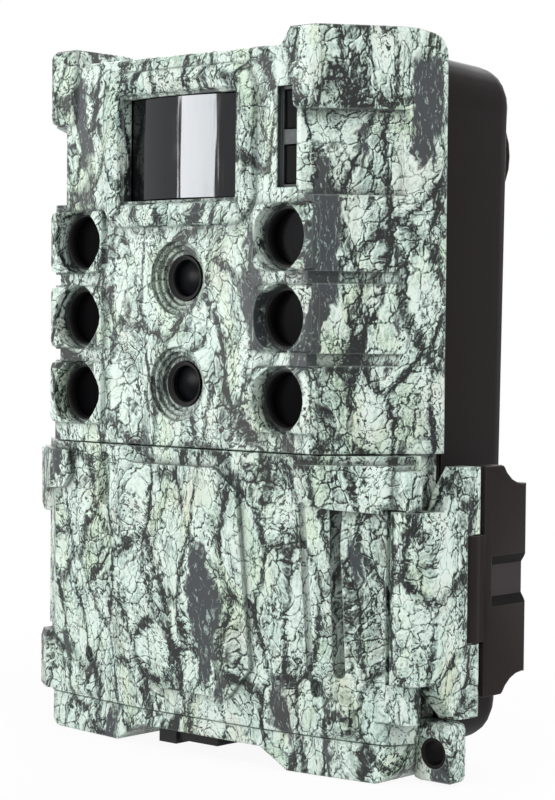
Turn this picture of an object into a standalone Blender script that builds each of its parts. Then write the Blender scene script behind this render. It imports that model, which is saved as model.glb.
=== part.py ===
"""Trail camera: a moulded two-part case with a hinged battery door, a draw latch and the works inside.

Every shape is laid out from the parting plane between the front and rear shells: x to the right,
y towards the tree, so the lens side is at negative y, and z up from the feet. A parent empty then
moves that plane so that the origin lies under the middle of the finished camera.
"""

import math

import bmesh
import bpy
from mathutils import Matrix, Vector

MM = 0.001

# Clearances
GAP = 0.3 * MM
RUN = 0.15 * MM
WELD = 0.001 * MM
SCREW_WELD = 0.01 * MM
LEAST_FILLET = 0.2 * MM

# Front shell
BODY_HALF = 50.0 * MM
BODY_HEIGHT = 143.0 * MM
FACE_HALF = 35.5 * MM
FACE_DEPTH = 21.8 * MM
HIP_IN = 5.0 * MM
HIP_DEPTH = 9.5 * MM
BAND_DEPTH = 2.5 * MM
WALL = 2.2 * MM
RELIEF = 1.4 * MM
FACE_FILLET = 2.4 * MM
HIP_FILLET = 9.0 * MM
BAND_FILLET = 1.5 * MM
SEAM_Z = 62.5 * MM
EAR_RISE = 5.5 * MM
EAR_INNER = 27.0 * MM
EAR_SLOPE = 3.6 * MM
EAR_HEIGHT = 15.6 * MM
EAR_ROUND = 8.5 * MM
EAR_STEPS = 5
NOTCH_DEPTH = 3.4 * MM
LOWER_STEP = 1.8 * MM
FRAME_DEPTH = 6.0 * MM
FRAME_CHAMFER = 1.6 * MM
FRAME_LIP = 2.6 * MM
OPENING_FILLET = 1.0 * MM
RIM_DEPTH = 15.2 * MM
FOOT_RISE = 4.0 * MM
FOOT_INNER = 17.0 * MM
FOOT_SLOPE = 7.0 * MM
FOOT_CORNER = 6.5 * MM
FOOT_FILLET = 2.0 * MM
POST_R = 3.0 * MM

# Motion sensor window
PIR_DROP = 21.35 * MM
PIR_HALF_W = 15.4 * MM
PIR_HALF_H = 10.3 * MM
PIR_CURVE = 45.0 * MM
PIR_THICK = 1.4 * MM
BEZEL_R = 2.9 * MM
BEZEL_PROUD = 1.9 * MM
PIR_CAN_R = 4.6 * MM
PIR_CAN_LENGTH = 7.2 * MM
PIR_CAN_BRIM = 1.0 * MM

# Infrared lamps, three a side
LED_X = 27.6 * MM
LED_RISE = 25.5 * MM
LED_PITCH = 15.5 * MM
LED_RIM_R = 6.55 * MM
LED_BORE_R = 5.8 * MM
LED_RIM_DEPTH = 3.4 * MM
LED_WINDOW_DEPTH = 4.8 * MM
LED_WINDOW_THICK = 1.2 * MM
LED_SLEEVE = 1.4 * MM
LED_BASE = 0.8 * MM
POD_INNER = 7.3 * MM
POD_OUTER = 8.6 * MM
POD_HALF_H = 6.6 * MM
POD_EDGE = 1.6 * MM
LED_BOARD_DEPTH = 13.0 * MM
BOARD_THICK = 1.6 * MM

# Two camera lenses on the centre line
LENS_RISE = 22.9 * MM
LENS_PITCH = 21.0 * MM
LENS_R = 4.5 * MM
LENS_GLASS_R = 3.5 * MM
LENS_GLASS_THICK = 2.0 * MM
LENS_CROWN = 0.5 * MM
FUNNEL_R = 7.4 * MM
FUNNEL_STEPS = 3
FUNNEL_RISE = 0.8 * MM
BARREL_FLANGE_R = 6.6 * MM

# Indicator and light sensor channel
CHANNEL_X = 28.4 * MM
CHANNEL_HALF_W = 2.5 * MM
CHANNEL_DROP = 20.6 * MM
CHANNEL_HALF_H = 9.6 * MM
CHANNEL_DEPTH = 1.2 * MM
CHANNEL_EDGE = 0.6 * MM
CROSSBAR_HALF = 1.4 * MM

# Rear shell
REAR_DEPTH = 25.6 * MM
BACK_LEAN = 2.4 * MM
REAR_WALL = 2.4 * MM
REAR_STEP = 0.8 * MM
REAR_LOW = 7.5 * MM
REAR_CORNER = 8.0 * MM
REAR_EDGE = 6.0 * MM
REAR_DRAFT = 0.8 * MM
STRAP_LUG_X = 35.0 * MM
STRAP_LUG_DROP = 21.0 * MM
STRAP_LUG_HALF = 2.2 * MM
STRAP_LUG_R = 10.3 * MM
STRAP_LUG_REACH = 12.6 * MM
STRAP_HOLE_R = 4.5 * MM
BOSS_HALF = 11.0 * MM
BOSS_Y = 13.6 * MM
BOSS_HALF_Y = 9.0 * MM
BOSS_FILLET = 1.2 * MM
INSERT_R = 5.0 * MM
INSERT_BORE_R = 3.2 * MM
INSERT_LENGTH = 8.0 * MM
GASKET = 1.0 * MM

# Battery door
DOOR_LOW = 7.6 * MM
DOOR_STEP = 0.7 * MM
DOOR_SIDE = 6.7 * MM
DOOR_WALL = 2.4 * MM
DOOR_END_WALL = 3.0 * MM
DOOR_TOP_DEPTH = 22.4 * MM
DOOR_LOW_DEPTH = 15.6 * MM
DOOR_HIP_IN = 2.9 * MM
DOOR_TOP_HIP = 12.8 * MM
DOOR_LOW_HIP = 12.3 * MM
DOOR_TOP_CORNER = 36.0 * MM
DOOR_LOW_CORNER = 33.0 * MM
CORNER_DROP = 1.6 * MM
CROWN_FILLET = 20.0 * MM
DOOR_FILLET = 3.0 * MM
PLATE_HALF = 16.4 * MM
PLATE_LIFT = 0.9 * MM
PLATE_TOP = 3.4 * MM
PLATE_SHOULDER = 7.6 * MM
SHOULDER_INNER = 31.0 * MM
SHOULDER_HEIGHT = 9.6 * MM
SHOULDER_LIFT = 1.3 * MM
TOE_HALF = 5.6 * MM
TOE_HEIGHT = 8.4 * MM
SEAL = 1.2 * MM
SEAL_OUT = 2.3 * MM
SEAL_CORNER = 3.0 * MM
WIDE_GROOVE = (2.0 * MM, 1.3 * MM)
THIN_GROOVE = (0.9 * MM, 0.8 * MM)
DEEP_GROOVE = (1.5 * MM, 1.5 * MM)
DIMPLE = (1.2 * MM, 1.4 * MM)
DEEP_GROOVE_OUT = 2.2 * MM
DIMPLE_LENGTH = 1.2 * MM

# Door hinge on the left side
HINGE_OUT = 3.0 * MM
HINGE_Y = 3.5 * MM
HINGE_LUG_R = 3.8 * MM
HINGE_BARREL_R = 2.3 * MM
HINGE_PIN_R = 1.1 * MM
HINGE_LOW_Z = 8.1 * MM
HINGE_LOW_LENGTH = 12.5 * MM
HINGE_LOW_SLOPE = 5.1 * MM
HINGE_TOP_Z = 59.7 * MM
HINGE_TOP_LENGTH = 13.2 * MM
HINGE_TOP_SLOPE = 3.6 * MM

# Draw latch on the right side
LATCH_OUT = 0.4 * MM
LATCH_Y = 10.8 * MM
BAR_R = 3.7 * MM
BAR_LOW = 19.5 * MM
BAR_TOP = 52.0 * MM
CLAW_LOW = 12.6 * MM
CLAW_TOP = 60.3 * MM
CLAW_THICK = 3.4 * MM
KNUCKLE_Y = 1.0 * MM
KNUCKLE_R = 2.1 * MM
TONGUE_LOW = 26.8 * MM
TONGUE_TOP = 47.2 * MM
LATCH_PIN_R = 1.0 * MM
LATCH_BOSS_R = 2.3 * MM
LATCH_BOSS_LENGTH = 7.2 * MM
LEVER_LOW = 16.0 * MM
LEVER_REACH = 7.4 * MM
LEVER_THICK = 3.5 * MM
LEVER_BACK = 17.0 * MM
LEVER_FRONT = 3.5 * MM
LEVER_FILLET = 0.5 * MM
SCOOP_R = 7.8 * MM
SCOOP_IN = 1.1 * MM
THUMB_LOW = 33.2 * MM
THUMB_TOP = 43.0 * MM
THUMB_GROOVE = 1.2 * MM
THUMB_SLOPE = 1.9 * MM
CATCH_RISE = 1.8 * MM
CATCH_FRONT = 2.0 * MM
CATCH_THICK = 1.6 * MM
PADLOCK_REACH = 6.8 * MM
PADLOCK_HEIGHT = 12.0 * MM
PADLOCK_HOLE_R = 3.0 * MM
PADLOCK_WALL = 1.4 * MM
PADLOCK_FILLET = 1.4 * MM

# Battery bay: round cells, three high and two deep
CELL_R = 7.1 * MM
CELL_BODY = 49.2 * MM
CELL_NUB_R = 2.75 * MM
CELL_NUB = 1.2 * MM
CELL_SHOULDER = 0.6 * MM
BAY_MARGIN = 1.4 * MM
CELL_FRONT_Y = -2.25 * MM
CELL_LOW_Z = 19.85 * MM
CELL_ROWS = 3
CELL_LAYERS = 2
TRAY_WALL = 1.2 * MM
TRAY_CORNER = 4.5 * MM
CONTACT_THICK = 0.8 * MM
CONTACT_BUMP = 0.8 * MM
CONTACT_BUMP_R = 2.6 * MM
BUMP_SIDES = 12

# Control panel, left of the battery bay
PANEL_THICK = 1.8 * MM
PANEL_TOP = 63.4 * MM
SCREEN_IN = 16.0 * MM
SCREEN_Z = 49.4 * MM
SCREEN_HALF_W = 11.2 * MM
SCREEN_HALF_H = 8.0 * MM
SCREEN_BORDER = 1.2 * MM
SCREEN_THICK = 2.2 * MM
KEY_IN = 19.0 * MM
KEY_Z = 29.6 * MM
KEY_PITCH = 6.4 * MM
KEY_R = 2.4 * MM
KEY_FLANGE = 0.6 * MM
KEY_PROUD = 1.5 * MM
SWITCH_IN = 5.6 * MM
SWITCH_Z = 26.4 * MM
SWITCH_HALF = 1.6 * MM
SWITCH_PLATE = 1.0 * MM
SWITCH_TRAVEL = 6.0 * MM
CARD_IN = 17.0 * MM
CARD_LOW_Z = 16.0 * MM
CARD_WIDTH = 24.0 * MM
CARD_LENGTH = 32.0 * MM
CARD_THICK = 2.1 * MM
CARD_PROUD = 4.6 * MM
CARD_CORNER = 4.0 * MM
SOCKET_WALL = 0.9 * MM

# Data port and its cover under the front shell
PORT_X = -4.2 * MM
PORT_Y = 4.0 * MM
PORT_HALF_W = 4.0 * MM
PORT_HALF_T = 1.4 * MM
PORT_HEIGHT = 5.9 * MM
PORT_SHELL = 0.6 * MM
COVER_HALF_W = 7.4 * MM
COVER_FRONT = 12.6 * MM
COVER_BACK = 1.8 * MM
COVER_THICK = 2.0 * MM
TAB_LENGTH = 4.0 * MM
TAB_THICK = 0.8 * MM

# Places that follow from the sizes above
TOP_Z = BODY_HEIGHT - EAR_RISE
HIP_HALF = BODY_HALF - HIP_IN
LOWER_HALF = BODY_HALF - LOWER_STEP
PIR_Z = BODY_HEIGHT - PIR_DROP
LED_Z = SEAM_Z + LED_RISE
LENS_Z = SEAM_Z + LENS_RISE
CHANNEL_Z = BODY_HEIGHT - CHANNEL_DROP
STRAP_LUG_Z = BODY_HEIGHT - STRAP_LUG_DROP
DOOR_HALF = BODY_HALF - DOOR_STEP
DOOR_HIP_HALF = DOOR_HALF - DOOR_HIP_IN
HINGE_X = BODY_HALF + HINGE_OUT
LATCH_X = BODY_HALF + LATCH_OUT
PADLOCK_OUT = BODY_HALF + PADLOCK_REACH
FRONT_BACK = -GAP / 2
POD_FRONT = -FACE_DEPTH - RELIEF
BEZEL_FRONT = -FACE_DEPTH - BEZEL_PROUD
REAR_HALF = BODY_HALF - REAR_STEP
REAR_TOP = TOP_Z - REAR_STEP
LUG_APEX = REAR_DEPTH + STRAP_LUG_REACH
INNER_HALF = LOWER_HALF - WALL
INNER_LOW = REAR_LOW + REAR_WALL
LIP_BACK = -FRAME_DEPTH + WALL
DOOR_TOP = SEAM_Z - GAP
DOOR_BACK = -FRAME_DEPTH - GAP
RIM_TOP = DOOR_LOW - GAP
DOOR_HOLLOW_HALF = DOOR_HALF - DOOR_SIDE
LEVER_OUT = BODY_HALF + LEVER_REACH
LEVER_INNER = LEVER_OUT - LEVER_THICK
KNUCKLE_X = LEVER_OUT - KNUCKLE_R
LED_ROWS = [LED_Z + step * LED_PITCH for step in (1, 0, -1)]
LENS_ROWS = [LENS_Z + LENS_PITCH / 2, LENS_Z - LENS_PITCH / 2]
POST_X = HIP_HALF - 2 * POST_R
POST_ROWS = [LED_ROWS[-1], BODY_HEIGHT - EAR_HEIGHT]
MAIN_BOARD_Y = -1.0 * MM
PANEL_FRONT = LIP_BACK + GAP
PANEL_BACK = PANEL_FRONT + PANEL_THICK
PANEL_LOW = INNER_LOW + GAP
SCREEN_BACK = PANEL_BACK + GAP + SCREEN_THICK
CONTROL_BOARD_Y = SCREEN_BACK + GAP
CARD_Y = CONTROL_BOARD_Y + BOARD_THICK + GAP + SOCKET_WALL + GAP
SCREEN_X = SCREEN_IN - INNER_HALF
KEY_X = KEY_IN - INNER_HALF
SWITCH_X = SWITCH_IN - INNER_HALF
CARD_X = CARD_IN - INNER_HALF
CELL_PITCH = 2 * CELL_R + GAP
CONTACT_ROOM = 2 * GAP + CONTACT_BUMP + CONTACT_THICK
TRAY_RIGHT = INNER_HALF - BAY_MARGIN
CELL_END = TRAY_RIGHT - TRAY_WALL - CONTACT_ROOM
CELL_LEFT = CELL_END - CELL_NUB - CELL_BODY
TRAY_LEFT = CELL_LEFT - CONTACT_ROOM - TRAY_WALL
TRAY_LOW = CELL_LOW_Z - CELL_R - GAP - TRAY_WALL
TRAY_TOP = CELL_LOW_Z + (CELL_ROWS - 1) * CELL_PITCH + CELL_R + GAP + TRAY_WALL
TRAY_FRONT = PANEL_BACK + GAP
TRAY_BACK = CELL_FRONT_Y + CELL_PITCH + CELL_R * 0.6
FRONT_REACH = max(-POD_FRONT, -BEZEL_FRONT, DOOR_TOP_DEPTH + SHOULDER_LIFT)
FRAME_Y = (FRONT_REACH - LUG_APEX) / 2

# Colours
BARK = (0.42, 0.48, 0.44)
CASE_BROWN = (0.024, 0.02, 0.021)
LATCH_BROWN = (0.042, 0.032, 0.032)
RUBBER = (0.012, 0.012, 0.013)
SMOKED = (0.01, 0.008, 0.01)
EMITTER = (0.05, 0.02, 0.08)
BOARD_GREEN = (0.02, 0.12, 0.06)
PANEL_GREY = (0.06, 0.06, 0.065)
SCREEN_GREY = (0.22, 0.26, 0.2)
KEY_GREY = (0.3, 0.3, 0.31)
CARD_BLUE = (0.03, 0.05, 0.14)
CELL_COPPER = (0.5, 0.3, 0.12)
STEEL = (0.6, 0.6, 0.6)
BRASS = (0.7, 0.52, 0.22)

for leftover in list(bpy.data.objects):
    bpy.data.objects.remove(leftover, do_unlink=True)

PARTS = bpy.data.collections.new("trail_camera")
CUTTERS = bpy.data.collections.new("cutters")
for collection in (PARTS, CUTTERS):
    bpy.context.scene.collection.children.link(collection)

FRAME = bpy.data.objects.new("camera_frame", None)
FRAME.location = (0, FRAME_Y, 0)
PARTS.objects.link(FRAME)


def add_mesh(name, mesh):
    """A new object for a mesh, carried by the frame empty."""
    item = bpy.data.objects.new(name, mesh)
    item.parent = FRAME
    PARTS.objects.link(item)
    return item


def from_bmesh(name, bm):
    """A new object for a bmesh, with its faces turned outwards."""
    bmesh.ops.recalc_face_normals(bm, faces=bm.faces)
    mesh = bpy.data.meshes.new(name)
    bm.to_mesh(mesh)
    bm.free()
    return add_mesh(name, mesh)


def lay(axis, a, b, height):
    """A point whose outline lies across the axis: (x, y) for Z, (x, z) for Y and (y, z) for X."""
    return {"Z": (a, b, height), "Y": (a, height, b), "X": (height, a, b)}[axis]


def prism(name, outline, low, high, axis="Z"):
    """A flat outline drawn out from low to high along an axis."""
    bm = bmesh.new()
    face = bm.faces.new([bm.verts.new(lay(axis, a, b, low)) for a, b in outline])
    grown = bmesh.ops.extrude_face_region(bm, geom=[face])
    moved = [part for part in grown["geom"] if isinstance(part, bmesh.types.BMVert)]
    bmesh.ops.translate(bm, vec=lay(axis, 0, 0, high - low), verts=moved)
    return from_bmesh(name, bm)


def loft(name, sections):
    """A solid through closed sections that hold the same number of points."""
    bm = bmesh.new()
    rings = [[bm.verts.new(point) for point in section] for section in sections]
    count = len(rings[0])
    sides = []
    for ring, following in zip(rings, rings[1:]):
        for i in range(count):
            j = (i + 1) % count
            sides.append(bm.faces.new((ring[i], ring[j], following[j], following[i])))
    bmesh.ops.triangulate(bm, faces=sides)
    bm.faces.new(rings[0])
    bm.faces.new(rings[-1])
    return from_bmesh(name, bm)


def box(name, low, high, radius=0.0, segments=2):
    """A box between two corners, with every edge rounded if a radius is given."""
    bm = bmesh.new()
    bmesh.ops.create_cube(bm, size=1)
    low, high = Vector(low), Vector(high)
    bmesh.ops.scale(bm, vec=high - low, verts=bm.verts)
    bmesh.ops.translate(bm, vec=(low + high) / 2, verts=bm.verts)
    if radius:
        bmesh.ops.bevel(
            bm, geom=bm.edges[:], offset=radius, segments=segments, profile=0.5, affect="EDGES"
        )
    return from_bmesh(name, bm)


def stand(axis):
    """The turn that lays an upright axis along Y, along X or towards the front."""
    turns = {"Z": (0, "X"), "Y": (-90, "X"), "FRONT": (90, "X"), "X": (90, "Y")}
    degrees, about = turns[axis]
    return Matrix.Rotation(math.radians(degrees), 4, about)


def rod(name, centre, radius, low, high, axis="Z", sides=24):
    """A round bar along an axis, with centre as its two other coordinates."""
    bm = bmesh.new()
    bmesh.ops.create_cone(
        bm, cap_ends=True, segments=sides, radius1=radius, radius2=radius, depth=high - low
    )
    bmesh.ops.transform(bm, matrix=stand(axis), verts=bm.verts)
    bmesh.ops.translate(bm, vec=lay(axis, *centre, (low + high) / 2), verts=bm.verts)
    return from_bmesh(name, bm)


def bake(item):
    """The object's evaluated mesh as a plain mesh object under the same name."""
    graph = bpy.context.evaluated_depsgraph_get()
    graph.update()
    mesh = bpy.data.meshes.new_from_object(item.evaluated_get(graph))
    name = item.name
    bpy.data.objects.remove(item, do_unlink=True)
    bm = bmesh.new()
    bm.from_mesh(mesh)
    bmesh.ops.remove_doubles(bm, verts=bm.verts, dist=WELD)
    return from_bmesh(name, bm)


def turned(name, profile, centre, sides=24, axis="FRONT"):
    """A profile of (radius, height) points, top first, turned round an axis through centre."""
    mesh = bpy.data.meshes.new(name)
    points = [(radius, 0, height) for radius, height in profile]
    mesh.from_pydata(points, [(i, i + 1) for i in range(len(points) - 1)], [])
    item = add_mesh(name, mesh)
    screw = item.modifiers.new("turn", "SCREW")
    screw.steps = sides
    screw.render_steps = sides
    screw.use_merge_vertices = True
    screw.merge_threshold = SCREW_WELD
    item = bake(item)
    item.data.transform(Matrix.Translation(centre) @ stand(axis))
    return item


def ring_tube(name, points, radius):
    """A closed round tube through the points."""
    curve = bpy.data.curves.new(name, "CURVE")
    curve.dimensions = "3D"
    curve.bevel_depth = radius
    curve.bevel_resolution = 2
    spline = curve.splines.new("POLY")
    spline.points.add(len(points) - 1)
    for point, place in zip(spline.points, points):
        point.co = (*place, 1)
    spline.use_cyclic_u = True
    item = bpy.data.objects.new(name, curve)
    PARTS.objects.link(item)
    return bake(item)


def group(name, *items):
    """One helper mesh of several solids that stand clear of each other."""
    bm = bmesh.new()
    for item in items:
        bm.from_mesh(item.data)
        bpy.data.objects.remove(item, do_unlink=True)
    return from_bmesh(name, bm)


def combine(target, tool, operation):
    """Adds one exact Boolean of a helper solid, which is kept out of the model."""
    PARTS.objects.unlink(tool)
    CUTTERS.objects.link(tool)
    tool.hide_render = True
    tool.display_type = "WIRE"
    step = target.modifiers.new(tool.name, "BOOLEAN")
    step.operation = operation
    step.solver = "EXACT"
    step.object = tool


def join(target, *tools):
    """Fuses helper solids with the target."""
    for tool in tools:
        combine(target, tool, "UNION")


def cut(target, *tools):
    """Cuts helper solids out of the target."""
    for tool in tools:
        combine(target, tool, "DIFFERENCE")


def keep_common(target, tool):
    """Leaves only what the target shares with a helper solid."""
    combine(target, tool, "INTERSECT")


def rounded(corners, steps=4):
    """The points of a closed outline whose (x, y, radius) corners are filleted with arcs."""
    points = []
    for i, (x, y, radius) in enumerate(corners):
        if not radius:
            points.append((x, y))
            continue
        corner = Vector((x, y))
        before = (Vector(corners[i - 1][:2]) - corner).normalized()
        after = (Vector(corners[(i + 1) % len(corners)][:2]) - corner).normalized()
        half = before.angle(after) / 2
        centre = corner + (before + after).normalized() * (radius / math.sin(half))
        start = corner + before * (radius / math.tan(half)) - centre
        end = corner + after * (radius / math.tan(half)) - centre
        first = math.atan2(start.y, start.x)
        sweep = math.remainder(math.atan2(end.y, end.x) - first, 2 * math.pi)
        for k in range(steps + 1):
            angle = first + sweep * k / steps
            points.append((centre.x + radius * math.cos(angle), centre.y + radius * math.sin(angle)))
    return points


def inset(corners, distance):
    """Corners of an anticlockwise outline moved in by a distance, with their fillets kept in step."""
    moved = []
    count = len(corners)
    for i, (x, y, radius) in enumerate(corners):
        corner = Vector((x, y))
        into = (corner - Vector(corners[i - 1][:2])).normalized()
        out = (Vector(corners[(i + 1) % count][:2]) - corner).normalized()
        normal_in = Vector((-into.y, into.x))
        normal_out = Vector((-out.y, out.x))
        step = (normal_in + normal_out) / (1 + normal_in.dot(normal_out))
        place = corner + step * distance
        moved.append((place.x, place.y, max(radius - distance, LEAST_FILLET) if radius else 0))
    return moved


def mirrored(right):
    """A closed anticlockwise outline from its right-hand corners, listed from the front to the back."""
    return right + [(-x, y, radius) for x, y, radius in reversed(right)]


def rectangle(left, low, right, top, radius=0.0):
    """The corners of an upright rectangle, anticlockwise."""
    return [(left, low, radius), (right, low, radius), (right, top, radius), (left, top, radius)]


def square_ring(name, left, low, right, top, width, corner, front, back):
    """An upright rounded ring of square section between its outer left, low, right and top edges."""
    outer = rounded(rectangle(left, low, right, top, corner))
    inner = rectangle(left + width, low + width, right - width, top - width, corner - width)
    ring = prism(name, outer, front, back, axis="Y")
    cut(ring, prism(f"{name}_inside", rounded(inner), front - WALL, back + WALL, axis="Y"))
    return ring


def finish(item, colour, roughness, metallic=0.0):
    """Gives an object its own plain material and smooth shading between soft edges."""
    material = bpy.data.materials.new(item.name)
    material.use_nodes = True
    shader = material.node_tree.nodes["Principled BSDF"]
    shader.inputs["Base Color"].default_value = (*colour, 1)
    shader.inputs["Roughness"].default_value = roughness
    shader.inputs["Metallic"].default_value = metallic
    item.data.materials.clear()
    item.data.materials.append(material)
    item.data.shade_smooth()
    item.data.set_sharp_from_angle(angle=math.radians(35))
    return item


def pivot(name, place, *items):
    """An empty on a joint's axis that carries the pieces that move about it."""
    axis = bpy.data.objects.new(name, None)
    axis.parent = FRAME
    axis.location = place
    PARTS.objects.link(axis)
    for item in items:
        item.parent = axis
        item.matrix_parent_inverse = Matrix.Translation(-Vector(place))


def case_corners(back, bite=0.0):
    """Plan corners of the upper front shell as far as a back line, with its flanks lowered by a bite."""
    return mirrored(
        [
            (FACE_HALF - bite, -FACE_DEPTH, FACE_FILLET),
            (HIP_HALF, -HIP_DEPTH + bite / 2, HIP_FILLET),
            (BODY_HALF, -BAND_DEPTH, BAND_FILLET),
            (BODY_HALF, back, 0),
        ]
    )


def flank_wedge(name, side, bite, low, high):
    """A wedge that lowers the flank between two heights, deepest at the front corner of the face."""
    front = POD_FRONT - WALL
    near = FACE_HALF - bite
    far = BODY_HALF * 1.2
    outline = [
        (side * near, front),
        (side * near, -FACE_DEPTH),
        (side * HIP_HALF, -HIP_DEPTH + bite / 2),
        (side * far, -HIP_DEPTH + bite / 2),
        (side * far, front),
    ]
    return prism(name, outline, low, high)


def bezel_ring():
    """Half-round raised frame round the motion sensor window."""
    reach_x = PIR_HALF_W + BEZEL_R
    reach_z = PIR_HALF_H + BEZEL_R
    path = rounded(rectangle(-reach_x, PIR_Z - reach_z, reach_x, PIR_Z + reach_z, BEZEL_R * 1.2))
    return ring_tube("bezel", [(x, BEZEL_FRONT + BEZEL_R, z) for x, z in path], BEZEL_R)


def raised_blocks(side):
    """The lamp pods and the ear block that stand proud of the face on one side."""
    spans = [(LED_X - POD_INNER, z - POD_HALF_H, z + POD_HALF_H) for z in LED_ROWS]
    spans.append((EAR_INNER + EAR_SLOPE / 2, BODY_HEIGHT - EAR_HEIGHT, BODY_HEIGHT))
    blocks = []
    for i, (inner, low, high) in enumerate(spans):
        ends = sorted((side * inner, side * (LED_X + POD_OUTER)))
        corner = (ends[0], POD_FRONT, low)
        far = (ends[1], -FACE_DEPTH + WALL, high)
        blocks.append(box(f"block_{side}_{i}", corner, far, radius=POD_EDGE))
    return group(f"blocks_{side}", *blocks)


def lens_funnel(z):
    """Stepped round recess that narrows to the lens bore."""
    bore = LENS_R + RUN
    step = (FUNNEL_R - bore) / FUNNEL_STEPS
    end = -(FUNNEL_STEPS * FUNNEL_RISE + 4 * WALL)
    profile = [(0, FACE_DEPTH), (FUNNEL_R, FACE_DEPTH)]
    for i in range(FUNNEL_STEPS):
        profile.append((FUNNEL_R - i * step, -(i + 1) * FUNNEL_RISE))
        profile.append((FUNNEL_R - (i + 1) * step, -(i + 1) * FUNNEL_RISE))
    profile += [(bore, end), (0, end)]
    return turned(f"funnel_{z:.4f}", profile, (0, -FACE_DEPTH, z), sides=32)


def foot_rim():
    """Rim under the door: two feet with a raised middle."""
    corners = mirrored(
        [
            (FOOT_INNER, -RIM_DEPTH, FOOT_FILLET),
            (DOOR_LOW_CORNER, -RIM_DEPTH + CORNER_DROP, FOOT_FILLET),
            (DOOR_HIP_HALF, -DOOR_LOW_HIP + GAP, FOOT_FILLET),
            (LOWER_HALF, -FRAME_DEPTH - GAP, 0),
            (LOWER_HALF, FRONT_BACK, 0),
        ]
    )
    rim = prism("rim", rounded(corners), 0, RIM_TOP)
    half = LOWER_HALF + GAP
    round_ends = mirrored([(half, -GAP, FOOT_CORNER), (half, RIM_TOP + WALL, 0)])
    keep_common(rim, prism("rim_ends", rounded(round_ends), -2 * RIM_DEPTH, RIM_DEPTH, axis="Y"))
    slope_end = FOOT_INNER + FOOT_SLOPE
    arch = [
        (-FOOT_INNER, FOOT_RISE),
        (-slope_end, -GAP),
        (slope_end, -GAP),
        (FOOT_INNER, FOOT_RISE),
    ]
    cut(rim, prism("rim_arch", arch, -2 * RIM_DEPTH, RIM_DEPTH, axis="Y"))
    return rim


def channel_pockets():
    """Low and high ends of the two window pockets in the sensor channel."""
    return (
        (CHANNEL_Z + CROSSBAR_HALF, CHANNEL_Z + CHANNEL_HALF_H - CHANNEL_EDGE),
        (CHANNEL_Z - CHANNEL_HALF_H + CHANNEL_EDGE, CHANNEL_Z - CROSSBAR_HALF),
    )


def sensor_channel():
    """Shallow upright channel in the right-hand column beside the window, and its two pockets."""
    front = -2 * FACE_DEPTH
    low = (CHANNEL_X - CHANNEL_HALF_W, front, CHANNEL_Z - CHANNEL_HALF_H)
    high = (CHANNEL_X + CHANNEL_HALF_W, -FACE_DEPTH + CHANNEL_DEPTH, CHANNEL_Z + CHANNEL_HALF_H)
    reach = CHANNEL_HALF_W - CHANNEL_EDGE
    pockets = [
        box(f"pocket_{i}", (CHANNEL_X - reach, front, bottom), (CHANNEL_X + reach, 0, top))
        for i, (bottom, top) in enumerate(channel_pockets())
    ]
    return box("channel", low, high), group("channel_pockets", *pockets)


def hinge_barrel():
    """Barrel on the left wall, between the two lugs of the door."""
    low = HINGE_LOW_Z + HINGE_LOW_LENGTH + GAP
    high = HINGE_TOP_Z - HINGE_TOP_LENGTH - GAP
    half = HINGE_BARREL_R * 0.7
    barrel = rod("hinge_barrel", (-HINGE_X, -HINGE_Y), HINGE_BARREL_R, low, high)
    near = (-HINGE_X, -HINGE_Y - half, low)
    join(barrel, box("hinge_arm", near, (-LOWER_HALF + WALL * 0.75, -HINGE_Y + half, high)))
    return barrel


def padlock_lug():
    """Lug at the lower right corner for a padlock."""
    return box(
        "padlock_lug",
        (INNER_HALF + WALL / 2, -FRAME_DEPTH + GAP, GAP),
        (PADLOCK_OUT, FRONT_BACK - GAP, PADLOCK_HEIGHT),
        radius=PADLOCK_FILLET,
    )


def upper_case():
    """The sculpted upper half of the front shell, still solid."""
    case = prism("front_shell", rounded(case_corners(FRONT_BACK)), SEAM_Z, BODY_HEIGHT)
    low_half = EAR_INNER - EAR_SLOPE / 2
    top_half = EAR_INNER + EAR_SLOPE
    ear_gap = [
        (-low_half, TOP_Z),
        (low_half, TOP_Z),
        (top_half, BODY_HEIGHT + WALL),
        (-top_half, BODY_HEIGHT + WALL),
    ]
    turns = [math.pi / 2 * i / EAR_STEPS for i in range(EAR_STEPS + 1)]
    ear_back = [(-EAR_ROUND * (1 - math.sin(a)), TOP_Z + EAR_RISE * math.cos(a)) for a in turns]
    ear_back += [
        (EAR_RISE, TOP_Z),
        (EAR_RISE, BODY_HEIGHT + WALL),
        (-EAR_ROUND, BODY_HEIGHT + WALL),
    ]
    cut(case, prism("ear_gap", ear_gap, -2 * FACE_DEPTH, FACE_DEPTH, axis="Y"))
    join(case, *[raised_blocks(side) for side in (-1, 1)], bezel_ring())
    wedges = []
    between = LED_PITCH / 2 - POD_HALF_H
    for side in (-1, 1):
        low = LED_ROWS[0] + LED_PITCH / 2
        high = BODY_HEIGHT - EAR_HEIGHT
        wedges.append(flank_wedge(f"notch_{side}", side, NOTCH_DEPTH, low, high))
        for z in LED_ROWS[:-1]:
            middle = z - LED_PITCH / 2
            name = f"groove_{side}_{z:.4f}"
            wedges.append(flank_wedge(name, side, NOTCH_DEPTH / 2, middle - between, middle + between))
    cut(case, prism("ear_back", ear_back, -2 * BODY_HALF, 2 * BODY_HALF, axis="X"), group("wedges", *wedges))
    return case


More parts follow.
